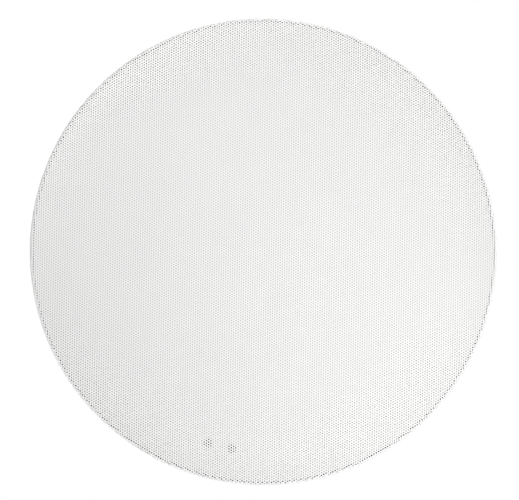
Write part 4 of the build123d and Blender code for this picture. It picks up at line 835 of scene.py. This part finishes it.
@dataclass
class Paintbox:
    """The materials by slot, made once each."""

    made: dict[str, bpy.types.Material] = field(default_factory=dict)

    def material(self, slot: str) -> bpy.types.Material:
        """The material of a slot.

        Args:
            slot: The record's slot.

        Returns:
            The material, made the first time that it is asked for.
        """
        if slot not in self.made:
            self.made[slot] = FINISHES[slot].material(slot)
        return self.made[slot]

    def dress(self, piece: bpy.types.Object, slot: str) -> bpy.types.Object:
        """Gives a new piece the material of a slot, and reports it.

        Args:
            piece: The new piece.
            slot: The record's slot that its finish comes from.

        Returns:
            The same piece.
        """
        piece.data.materials.append(self.material(slot))
        LOG.info("%s: %d faces", piece.name, len(piece.data.polygons))
        return piece

    def dress_nodes(self, record: dict, nodes: dict[str, bpy.types.Object]) -> None:
        """Gives every CAD node the material of its slot.

        Args:
            record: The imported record.
            nodes: The CAD nodes by name.
        """
        for row in record["subparts"]:
            mesh = nodes[row["node"]].data
            mesh.materials.clear()
            mesh.materials.append(self.material(row["material_slot"]))
        LOG.info("materials on %d nodes", len(record["subparts"]))


# Sub-assemblies, with lengths in millimetres


@dataclass
class Pan:
    """Profile of the grille's pressed pan, from the axis along the sheet to its free edge."""

    radius: float = 116.5
    face_z: float = -6.8
    edge_z: float = -0.4
    sheet: float = 0.7
    bend: float = 1.6
    crown: float = 110.0
    crown_deg: float = 6.0

    def __post_init__(self) -> None:
        """Works out where the flat face, the crown and the fold end along the sheet."""
        self.slope = math.radians(self.crown_deg)
        flat_loss = self.bend * (1 - math.sin(self.slope)) + self.crown * math.sin(self.slope)
        self.flat_end = self.radius - flat_loss
        self.crown_end = self.flat_end + self.crown * self.slope
        self.fold = math.pi / 2 - self.slope
        self.bend_end = self.crown_end + self.bend * self.fold
        self.bend_z = (
            self.face_z + self.crown * (1 - math.cos(self.slope)) + self.bend * math.cos(self.slope)
        )
        self.sheet_end = self.bend_end + self.edge_z - self.bend_z

    def folded(self, flat: np.ndarray, inset: float) -> np.ndarray:
        """Presses the flat sheet into the pan.

        A point keeps its direction from the centre. Its distance along the sheet runs over the flat
        face, then round the crown's arc, then round the fold's arc, then up the skirt.

        Args:
            flat: Points of the flat sheet.
            inset: How far inside the outer skin the points lie.

        Returns:
            The points on the pan.
        """
        run = np.linalg.norm(flat, axis=1)
        way = flat / np.maximum(run, SAME_POINT)[:, None]
        on_crown = np.clip((run - self.flat_end) / self.crown, 0, self.slope)
        on_bend = self.slope + np.clip((run - self.crown_end) / self.bend, 0, self.fold)
        crown, bend = self.crown - inset, self.bend - inset
        past = run > self.crown_end
        radius = np.where(
            past,
            self.radius - self.bend + bend * np.sin(on_bend),
            np.minimum(run, self.flat_end) + crown * np.sin(on_crown),
        )
        height = np.where(
            past,
            self.bend_z - bend * np.cos(on_bend) + np.maximum(run - self.bend_end, 0),
            self.face_z + self.crown - crown * np.cos(on_crown),
        )
        return np.column_stack([radius[:, None] * way, height])


@dataclass
class Grille:
    """The perforated steel grille, with every hole through the sheet, in closed sectors."""

    pan: Pan
    pitch: float = 1.3
    hole_diameter: float = 0.74
    break_out: float = 0.10
    turn_deg: float = 18.37
    shift: Span = (-0.33, 0.12)
    last_hole: float = 115.8
    band_start: float = 116.45
    fold_start: float = 1.5
    fold_rings: int = 4
    rim_steps: int = 360
    sectors: int = 6
    sharp_deg: float = 70.0
    slot: str = "grille_white"
    pieces: list[bpy.types.Object] = field(default_factory=list)

    def lattice(self) -> tuple[np.ndarray, np.ndarray]:
        """The staggered lattice of hole centres on the flat sheet.

        A centre is the shift plus whole steps along two directions 60 degrees apart.

        Returns:
            The centres on a square table of steps, and which of them the sheet holds.
        """
        reach = int(self.last_hole / (self.pitch * math.cos(math.radians(30)))) + 2
        steps = np.arange(-reach, reach + 1)
        i, j = np.meshgrid(steps, steps, indexing="ij")
        first, second = (math.radians(self.turn_deg + a) for a in (0, 60))
        x = self.shift[0] + self.pitch * (i * math.cos(first) + j * math.cos(second))
        y = self.shift[1] + self.pitch * (i * math.sin(first) + j * math.sin(second))
        return np.stack([x, y], -1), np.hypot(x, y) <= self.last_hole

    def webs(self) -> tuple[dict[Layer, np.ndarray], np.ndarray, np.ndarray, np.ndarray]:
        """The metal between the holes, on the flat sheet.

        A hole is a hexagon of the round hole's area, with a side towards each neighbour. Its
        corners' numbers are 6 times its own, and the next five. A quad joins the facing sides of
        two neighbours, and a triangle the nearest corners of three. The punch breaks out on the
        inner face, so the hole is wider there.

        Returns:
            The corners of all holes on each face, the quads, the triangles, and the hexagons.
        """
        centres, kept = self.lattice()
        a, b = np.s_[:-1], np.s_[1:]
        lower = kept[a, a] & kept[b, a] & kept[a, b]
        upper = kept[b, a] & kept[b, b] & kept[a, b]
        number = np.arange(kept.size).reshape(kept.shape)
        n00, n10, n01, n11 = number[a, a], number[b, a], number[a, b], number[b, b]
        low = np.zeros(np.add(kept.shape, 1), bool)
        high = low.copy()
        low[1:-1, 1:-1], high[1:-1, 1:-1] = lower, upper
        along_i = (low | np.roll(high, 1, 1))[1:-1, 1:]
        along_j = (low | np.roll(high, 1, 0))[1:, 1:-1]
        across = lower | upper
        quads = np.vstack([
            self.bridge(number[a, :][along_i], number[b, :][along_i], 0),
            self.bridge(number[:, a][along_j], number[:, b][along_j], 1),
            self.bridge(n10[across], n01[across], 2),
        ])
        triangles = np.vstack([
            np.stack([6 * n00[lower], 6 * n10[lower] + 2, 6 * n01[lower] + 4], 1),
            np.stack([6 * n10[upper] + 1, 6 * n11[upper] + 3, 6 * n01[upper] + 5], 1),
        ])
        used = np.unique(np.concatenate([quads.ravel(), triangles.ravel()]) // 6)
        hexagons = 6 * used[:, None] + np.arange(6)[None, :]
        corner = np.radians(self.turn_deg + 30 + 60 * np.arange(6))
        spokes = np.stack([np.cos(corner), np.sin(corner)], 1)
        reach = self.hole_diameter / 2 * math.sqrt(2 * math.pi / (3 * math.sqrt(3)))
        middles = centres.reshape(-1, 1, 2)
        corners = {
            layer: (middles + (reach + layer.value * self.break_out) * spokes).reshape(-1, 2)
            for layer in Layer
        }
        return corners, quads, triangles, hexagons

    @staticmethod
    def bridge(here: np.ndarray, there: np.ndarray, way: int) -> np.ndarray:
        """Quads between the facing sides of neighbouring holes.

        Args:
            here: Numbers of the first holes.
            there: Numbers of their neighbours.
            way: The neighbour's direction, in steps of 60 degrees.

        Returns:
            The quads' corners, anticlockwise.
        """
        near, far = 6 * here, 6 * there
        corners = near + (5 + way) % 6, far + (3 + way) % 6, far + (2 + way) % 6, near + way % 6
        return np.stack(corners, 1)

    def flat_sheet(self) -> tuple[dict[Layer, np.ndarray], np.ndarray, np.ndarray]:
        """The whole perforated blank: the webs, a plain band round them, and the skirt's rings.

        Returns:
            The points on each face of the flat sheet, the quads and the triangles.
        """
        faces, quads, triangles, hexagons = self.webs()
        corners = faces[Layer.OUTER]
        edge = open_edges([quads, triangles, hexagons], len(corners))
        rim_numbers, packed = np.unique(edge, return_inverse=True)
        packed = packed.reshape(edge.shape)
        outline = corners[rim_numbers]
        band = np.vstack([outline, circle(self.band_start, self.rim_steps)])
        kept_edges = np.vstack([packed, loop_edges(len(outline), self.rim_steps)])
        fill = filled(band, kept_edges)
        middle = band[fill].mean(1)
        fill = fill[~inside(middle, outline[packed[:, 0]], outline[packed[:, 1]])]
        numbers = np.concatenate([rim_numbers, len(corners) + np.arange(self.rim_steps)])
        last, end = self.pan.bend_end, self.pan.sheet_end
        fold = np.linspace(self.pan.crown_end + self.fold_start, last, self.fold_rings)
        runs = [self.band_start, *fold, (last + end) / 2, end]
        rings = np.vstack([circle(run, self.rim_steps) for run in runs])
        skirt = grid_quads(len(runs), self.rim_steps, False, True) + len(corners)
        points = {layer: np.vstack([faces[layer], rings]) for layer in Layer}
        return points, np.vstack([quads, skirt]), np.vstack([triangles, numbers[fill]])

    def sector_numbers(self, places: np.ndarray) -> np.ndarray:
        """The sector that each place lies in, from its angle about the centre."""
        turn = np.arctan2(places[:, 1], places[:, 0]) % (2 * np.pi)
        return (turn * self.sectors / (2 * np.pi)).astype(int)

    def sector(
        self, points: dict[Layer, np.ndarray], quads: np.ndarray, triangles: np.ndarray,
    ) -> Shell:
        """A closed piece of the sheet.

        Its outer and inner faces are the same flat faces pressed at two insets, with walls round
        the holes, at the cuts and at the free edge.

        Args:
            points: The points on each face of the flat sheet.
            quads: The piece's quads.
            triangles: The piece's triangles.

        Returns:
            The closed surface.
        """
        corners = np.concatenate([quads.ravel(), triangles.ravel()])
        used, packed = np.unique(corners, return_inverse=True)
        insets = {layer: layer.value * self.pan.sheet for layer in Layer}
        sides = [self.pan.folded(points[layer][used], inset) for layer, inset in insets.items()]
        own_quads, own_triangles = packed[:quads.size], packed[quads.size:]
        return two_sided(sides, own_quads.reshape(-1, 4), own_triangles.reshape(-1, 3))

    def build(self, paint: Paintbox) -> None:
        """Makes the sectors, which stand for the grille's node.

        Args:
            paint: The materials.
        """
        points, quads, triangles = self.flat_sheet()
        quads_in, triangles_in = (
            self.sector_numbers(points[Layer.OUTER][faces].mean(1)) for faces in (quads, triangles)
        )
        for k in range(self.sectors):
            shell = self.sector(points, quads[quads_in == k], triangles[triangles_in == k])
            piece = paint.dress(shell.to_object(f"grille_sheet_{k + 1}", self.sharp_deg), self.slot)
            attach(piece, Body.FRAME.value)
            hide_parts("grille")
            self.pieces.append(piece)


@dataclass
class Scrim:
    """The cloth glued behind the grille, with two round windows."""

    pan: Pan
    radius: float = 114.6
    thickness: float = 0.35
    glue: float = 0.05
    window_diameter: float = 4.6
    window_circle: float = 99.5
    window_spread_deg: float = 6.89
    window_way_deg: float = -90.0
    window_margin: float = 1.4
    window_slack: float = 0.999
    rings: int = 40
    steps: int = 240
    window_steps: int = 36
    sharp_deg: float = 50.0
    slot: str = "scrim_white"

    def __post_init__(self) -> None:
        """Works out the flat disc's radius and where its windows are."""
        self.run = self.pan.flat_end + self.pan.crown * math.asin(
            (self.radius - self.pan.flat_end) / (self.pan.crown - self.pan.sheet)
        )
        self.hole = self.window_diameter / 2
        turns = [
            math.radians(self.window_way_deg + side * self.window_spread_deg / 2)
            for side in (-1, 1)
        ]
        self.middles = self.window_circle * np.array([[math.cos(t), math.sin(t)] for t in turns])

    def from_windows(self, points: np.ndarray) -> np.ndarray:
        """Distance of each point from the nearest window's middle."""
        return np.linalg.norm(points[:, None] - self.middles[None], axis=2).min(1)

    def disc(self) -> tuple[np.ndarray, np.ndarray]:
        """The flat disc: points on rings, with each window's edge among them.

        Returns:
            The points, and the triangles between them outside the windows.
        """
        radii = np.linspace(0, self.run, self.rings + 1)[1:-1]
        inner = np.vstack([circle(radius, self.steps) for radius in radii])
        inner = inner[self.from_windows(inner) > self.window_margin * self.hole]
        windows = [middle + circle(self.hole, self.window_steps) for middle in self.middles]
        flat = np.vstack([circle(self.run, self.steps), *windows, inner, [[0.0, 0.0]]])
        edges = [loop_edges(0, self.steps)]
        for k in range(len(windows)):
            edges.append(loop_edges(self.steps + k * self.window_steps, self.window_steps))
        faces = filled(flat, np.vstack(edges))
        inradius = self.hole * math.cos(math.pi / self.window_steps)
        outside = self.from_windows(flat[faces].mean(1)) > inradius * self.window_slack
        return flat, faces[outside]

    def build(self, paint: Paintbox, grille: Grille) -> None:
        """Makes the cloth: the disc, pressed like the grille, a glue line inside it.

        Args:
            paint: The materials.
            grille: The grille that the cloth is glued to; not used.
        """
        flat, faces = self.disc()
        front = self.pan.sheet + self.glue
        sides = [self.pan.folded(flat, front + self.thickness * layer.value) for layer in Layer]
        shell = two_sided(sides, np.empty((0, 4), np.int64), faces)
        cloth = paint.dress(shell.to_object("scrim_cloth", self.sharp_deg), self.slot)
        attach(cloth, Body.FRAME.value)
        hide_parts("grille_scrim")


@dataclass
class Suspension:
    """The cone's surround and spider, which lie between the frame and the cone."""

    roll_outer: float = 70.5
    roll_radius: float = 3.9
    surround_outer: float = 75.1
    lip_inner: float = 59.7
    surround_thickness: float = 0.6
    surround_z: float = 12.9
    surround_sharp_deg: float = 40.0
    surround_slot: str = "surround_rubber"
    spider_inner: float = 13.05
    spider_outer: float = 44.2
    wave_start: float = 15.55
    wave_end: float = 37.5
    waves: int = 4
    wave_height: float = 1.05
    spider_thickness: float = 0.5
    spider_z: float = 41.1
    spider_sharp_deg: float = 60.0
    spider_slot: str = "spider_cloth"
    roll_steps: int = 25
    edge_steps: int = 5
    spider_steps: int = 90
    steps: int = 144

    def surround_path(self) -> np.ndarray:
        """The surround's line: a flange, a half circle that bulges forward, and a lip.

        Returns:
            Radius and height along the line, from the outside inwards.
        """
        turn = np.linspace(0, np.pi, self.roll_steps)
        middle = self.roll_outer - self.roll_radius
        roll_inner = self.roll_outer - 2 * self.roll_radius
        radius = np.concatenate([
            np.linspace(self.surround_outer, self.roll_outer, self.edge_steps)[:-1],
            middle + self.roll_radius * np.cos(turn),
            np.linspace(roll_inner, self.lip_inner, self.edge_steps)[1:],
        ])
        level = np.zeros(self.edge_steps - 1)
        bulge = np.concatenate([level, self.roll_radius * np.sin(turn), level])
        return np.stack([radius, self.surround_z - bulge], 1)

    def spider_path(self) -> np.ndarray:
        """The spider's line: flat at both ends, with even sine waves between.

        Returns:
            Radius and height along the line, from the outside inwards.
        """
        radius = np.linspace(self.spider_outer, self.spider_inner, self.spider_steps)
        share = np.clip((radius - self.wave_start) / (self.wave_end - self.wave_start), 0, 1)
        height = self.spider_z - self.wave_height * np.sin(2 * np.pi * self.waves * share)
        return np.stack([radius, height], 1)

    def flexing(self, piece: bpy.types.Object) -> None:
        """Bakes a ring's placement into its mesh and reads its points, which nothing uses.

        Args:
            piece: The ring.
        """
        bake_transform(piece)
        places = np.empty(3 * len(piece.data.vertices), np.float32)
        piece.data.vertices.foreach_get("co", places)

    def build(self, paint: Paintbox) -> None:
        """Makes both rings, which stand for their nodes.

        Args:
            paint: The materials.
        """
        section = thickened(self.surround_path(), self.surround_thickness)
        ring = revolved(section, self.steps).to_object("surround_roll", self.surround_sharp_deg)
        surround = paint.dress(ring, self.surround_slot)
        self.flexing(surround)
        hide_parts("woofer_surround")
        section = thickened(self.spider_path(), self.spider_thickness)
        ring = revolved(section, self.steps).to_object("spider_waves", self.spider_sharp_deg)
        spider = paint.dress(ring, self.spider_slot)
        self.flexing(spider)
        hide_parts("spider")


@dataclass
class ClampThreads:
    """The rolled threads of the clamp screws, as ridges on their shanks."""

    circle_radius: float = 92.0
    first_deg: float = 45.0
    count: int = 4
    shank_radius: float = 2.0
    ridge: float = 0.16
    sunk: float = 0.1
    end_share: float = 0.25
    bottom: float = 12.6
    top: float = 59.6
    lead: float = 2.0
    steps: int = 28
    sides: int = 6
    sharp_deg: float = 80.0
    slot: str = "screw_zinc"

    def build(self, paint: Paintbox) -> None:
        """Makes each screw's ridge: a small circle carried along a helix, which fades at both ends.

        Args:
            paint: The materials.
        """
        path = helix(self.shank_radius - self.sunk, self.bottom, self.top, self.lead, self.steps)
        end = np.minimum(path[:, 2] - self.bottom, self.top - path[:, 2]) / self.lead
        radius = (self.ridge + self.sunk) * np.clip(end + self.end_share, self.end_share, 1)
        ridge = tube(path, radius, self.sides)
        for k in range(self.count):
            turn = math.radians(self.first_deg + 360 * k / self.count)
            place = (self.circle_radius * math.cos(turn), self.circle_radius * math.sin(turn), 0)
            piece = ridge.moved(place).to_object(f"clamp_thread_{k + 1}", self.sharp_deg)
            paint.dress(piece, self.slot)
            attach(piece, f"screw_{k + 1}")


@dataclass(frozen=True)
class Coil:
    """The outer layer of wire on a bobbin.

    Attributes:
        name: The piece's name.
        place: The bobbin's place in plan, from the tray's middle.
        radius: The radius of the winding's solid.
        height: The height between the bobbin's flanges.
        wire: The wire's thickness.
    """

    name: str
    place: Span
    radius: float
    height: float
    wire: float


@dataclass
class Windings:
    """The outer layers of wire on the crossover's two coils."""

    coils: tuple[Coil, ...] = (
        Coil("low_pass_wire", (-17.3, 2.8), 10.3, 9.9, 0.9),
        Coil("high_pass_wire", (16.5, -6.0), 6.3, 6.9, 0.6),
    )
    tray_y: float = 78.52
    board_top: float = 37.2
    flange: float = 1.05
    sunk_share: float = 0.2
    steps: int = 48
    sides: int = 8
    sharp_deg: float = 80.0
    slot: str = "copper_wire"

    def layer(self, coil: Coil) -> Shell:
        """One layer of wire: a circle carried along a helix whose lead is the wire's thickness.

        Args:
            coil: The coil.

        Returns:
            The layer, sunk a little into the winding's solid.
        """
        bottom = self.board_top + self.flange + coil.wire / 2
        top = bottom + coil.height - coil.wire
        path = helix(coil.radius - self.sunk_share * coil.wire, bottom, top, coil.wire, self.steps)
        wire = tube(path, np.full(len(path), coil.wire / 2), self.sides)
        return wire.moved((coil.place[0], self.tray_y + coil.place[1], 0))

    def build(self, paint: Paintbox) -> None:
        """Makes the layers of both coils.

        Args:
            paint: The materials.
        """
        for coil in self.coils:
            piece = self.layer(coil).to_object(coil.name, self.sharp_deg)
            paint.dress(piece, self.slot)
            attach(piece, Body.FRAME.value)


# Stage, with lengths in millimetres but for those of the lamps and distance_m


@dataclass(frozen=True)
class Lamp:
    """A square soft lamp.

    Attributes:
        name: The lamp's name.
        place: Where it is, in metres.
        aim: The point that it faces.
        size: Its side in metres.
        power: Its power in watts.
    """

    name: str
    place: Triple
    aim: Triple
    size: float
    power: float

    def build(self) -> None:
        """Makes the lamp and turns it to its aim."""
        data = bpy.data.lights.new(self.name, "AREA")
        data.energy = self.power
        data.size = self.size
        lamp = bpy.data.objects.new(self.name, data)
        lamp.location = self.place
        lamp.rotation_mode = "QUATERNION"
        lamp.rotation_quaternion = (Vector(self.aim) - Vector(self.place)).to_track_quat("-Z", "Y")
        bpy.context.scene.collection.objects.link(lamp)


@dataclass
class Studio:
    """The pale floor, the soft light and the camera below the grille."""

    lamps: tuple[Lamp, ...] = (
        Lamp("front_soft", (-0.1241, -0.0949, -0.4), (-0.1241, -0.0949, 0.0), 0.15, 1.03),
        Lamp("left_soft", (0.4454, 0.1552, -0.15), (0.03, 0.0, 0.0), 0.25, 1.22),
        Lamp("upper_soft", (-0.0142, 0.2083, -0.45), (-0.0142, 0.2083, 0.0), 0.15, 0.72),
        Lamp("back_soft", (-0.9, -1.1, 1.3), (0.0, 0.0, 0.03), 0.9, 16.0),
    )
    ambient: float = 0.2
    sky_strength: float = 1.7
    sky_spread_deg: float = 70.0
    floor_z: float = -6.9
    floor_rings: tuple[float, ...] = (116.6, 117.2, 150.0, 300.0, 1000.0, 6000.0)
    floor_steps: int = 180
    lip_z: float = -4.7
    floor_sharp_deg: float = 30.0
    floor_colour: Colour = (0.86, 0.86, 0.86)
    floor_tone: float = 0.01
    floor_cloud_mm: float = 1000 / 3
    floor_roughness: float = 0.9
    floor_specular: float = 0.2
    aim_z: float = -5.0
    distance_m: float = 1.05
    tilt_deg: float = 2.75
    tilt_way: Span = (0.261, -0.965)
    image_right: Triple = (-0.9752, 0.2214, 0.0)
    sensor_mm: float = 36.0
    focal_pixels: float = 2104.5
    disc_middle: Span = (263.8, 250.8)

    def world(self) -> None:
        """Even white light, with a plain white behind the object, which metal mirrors too."""
        world = bpy.data.worlds.new("studio")
        bpy.context.scene.world = world
        world.use_nodes = True
        tree = world.node_tree
        tree.nodes.clear()
        rays = tree.nodes.new("ShaderNodeLightPath")
        seen = rays.outputs["Is Camera Ray"]
        for other in ("Is Glossy Ray", "Is Transmission Ray"):
            either = tree.nodes.new("ShaderNodeMath")
            either.operation = "MAXIMUM"
            tree.links.new(seen, either.inputs[0])
            tree.links.new(rays.outputs[other], either.inputs[1])
            seen = either.outputs[0]
        light, white = (tree.nodes.new("ShaderNodeBackground") for _ in range(2))
        for node, strength in ((light, self.ambient), (white, 1.0)):
            node.inputs["Color"].default_value = (1.0, 1.0, 1.0, 1.0)
            node.inputs["Strength"].default_value = strength
        out = tree.nodes.new("ShaderNodeOutputWorld")
        both = mixed(tree, seen, light.outputs[0], white.outputs[0])
        tree.links.new(both, out.inputs["Surface"])

    def floor(self) -> None:
        """A pale floor with a round opening under the grille, white to a camera below it.

        Its edge rises to the rim's widest part, so that the light below doesn't show above it.
        """
        flat = np.vstack([circle(radius, self.floor_steps) for radius in self.floor_rings])
        heights = [self.lip_z] + [self.floor_z] * (len(self.floor_rings) - 1)
        points = np.column_stack([flat, np.repeat(heights, self.floor_steps)])
        quads = grid_quads(len(self.floor_rings), self.floor_steps, False, True)
        floor = Shell(points, quads).to_object("floor", self.floor_sharp_deg)
        nodes = Nodes("pale_floor")
        low, high = (scaled(self.floor_colour, 1 + way * self.floor_tone) for way in (-1, 1))
        nodes.feed(
            nodes.shader,
            Base_Color=nodes.tinted(nodes.noise(self.floor_cloud_mm, detail=3.0), low, high),
            Roughness=self.floor_roughness,
            Specular_IOR_Level=self.floor_specular,
        )
        under = nodes.add("ShaderNodeNewGeometry").outputs["Backfacing"]
        camera = nodes.add("ShaderNodeLightPath").outputs["Is Camera Ray"]
        seen = nodes.maths("MULTIPLY", under, camera)
        white = nodes.add("ShaderNodeEmission")
        both = mixed(nodes.tree, seen, nodes.shader.outputs[0], white.outputs[0])
        nodes.feed(nodes.tree.nodes["Material Output"], Surface=both)
        floor.data.materials.append(nodes.material)

    def sky(self) -> None:
        """A wide, even light from straight above; metal mirrors the white world in its place."""
        data = bpy.data.lights.new("sky_soft", "SUN")
        data.energy = self.sky_strength
        data.angle = math.radians(self.sky_spread_deg)
        sky = bpy.data.objects.new("sky_soft", data)
        sky.visible_glossy = False
        bpy.context.scene.collection.objects.link(sky)

    def camera(self) -> None:
        """The camera below the grille, tilted a little, with the disc where the photo has it."""
        tilt = math.radians(self.tilt_deg)
        aside, ahead = (math.sin(tilt) * way for way in self.tilt_way)
        back = Vector((aside, ahead, -math.cos(tilt))).normalized()
        right = Vector(self.image_right)
        right = (right - right.dot(back) * back).normalized()
        up = back.cross(right)
        pixel = self.distance_m / self.focal_pixels
        shift = (self.disc_middle[0] - PHOTO_WIDTH / 2) * pixel
        drop = (self.disc_middle[1] - PHOTO_HEIGHT / 2) * pixel
        data = bpy.data.cameras.new("camera")
        data.sensor_width = self.sensor_mm
        data.lens = self.focal_pixels * self.sensor_mm / PHOTO_WIDTH
        camera = bpy.data.objects.new("camera", data)
        centre = Vector((0.0, 0.0, self.aim_z * MM))
        place = centre + back * self.distance_m - right * shift + up * drop
        turn = Matrix((right, up, back)).transposed().to_4x4()
        camera.matrix_world = Matrix.Translation(place) @ turn
        bpy.context.scene.collection.objects.link(camera)
        bpy.context.scene.camera = camera

    def build(self) -> None:
        """Sets up the stage."""
        bpy.context.scene.view_settings.view_transform = "Standard"
        self.world()
        self.floor()
        for lamp in self.lamps:
            lamp.build()
        self.sky()
        self.camera()


def main() -> None:
    """Builds the pieces in order."""
    logging.basicConfig(level=logging.INFO, format="%(name)s %(message)s")
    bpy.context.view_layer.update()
    Studio().build()
    paint = Paintbox()
    paint.dress_nodes(frame["record"], frame["nodes"])
    pan = Pan()
    grille = Grille(pan)
    grille.build(paint)
    Scrim(pan).build(paint, grille)
    Suspension().build(paint)
    ClampThreads().build(paint)
    Windings().build(paint)


if __name__ == "__main__":
    main()
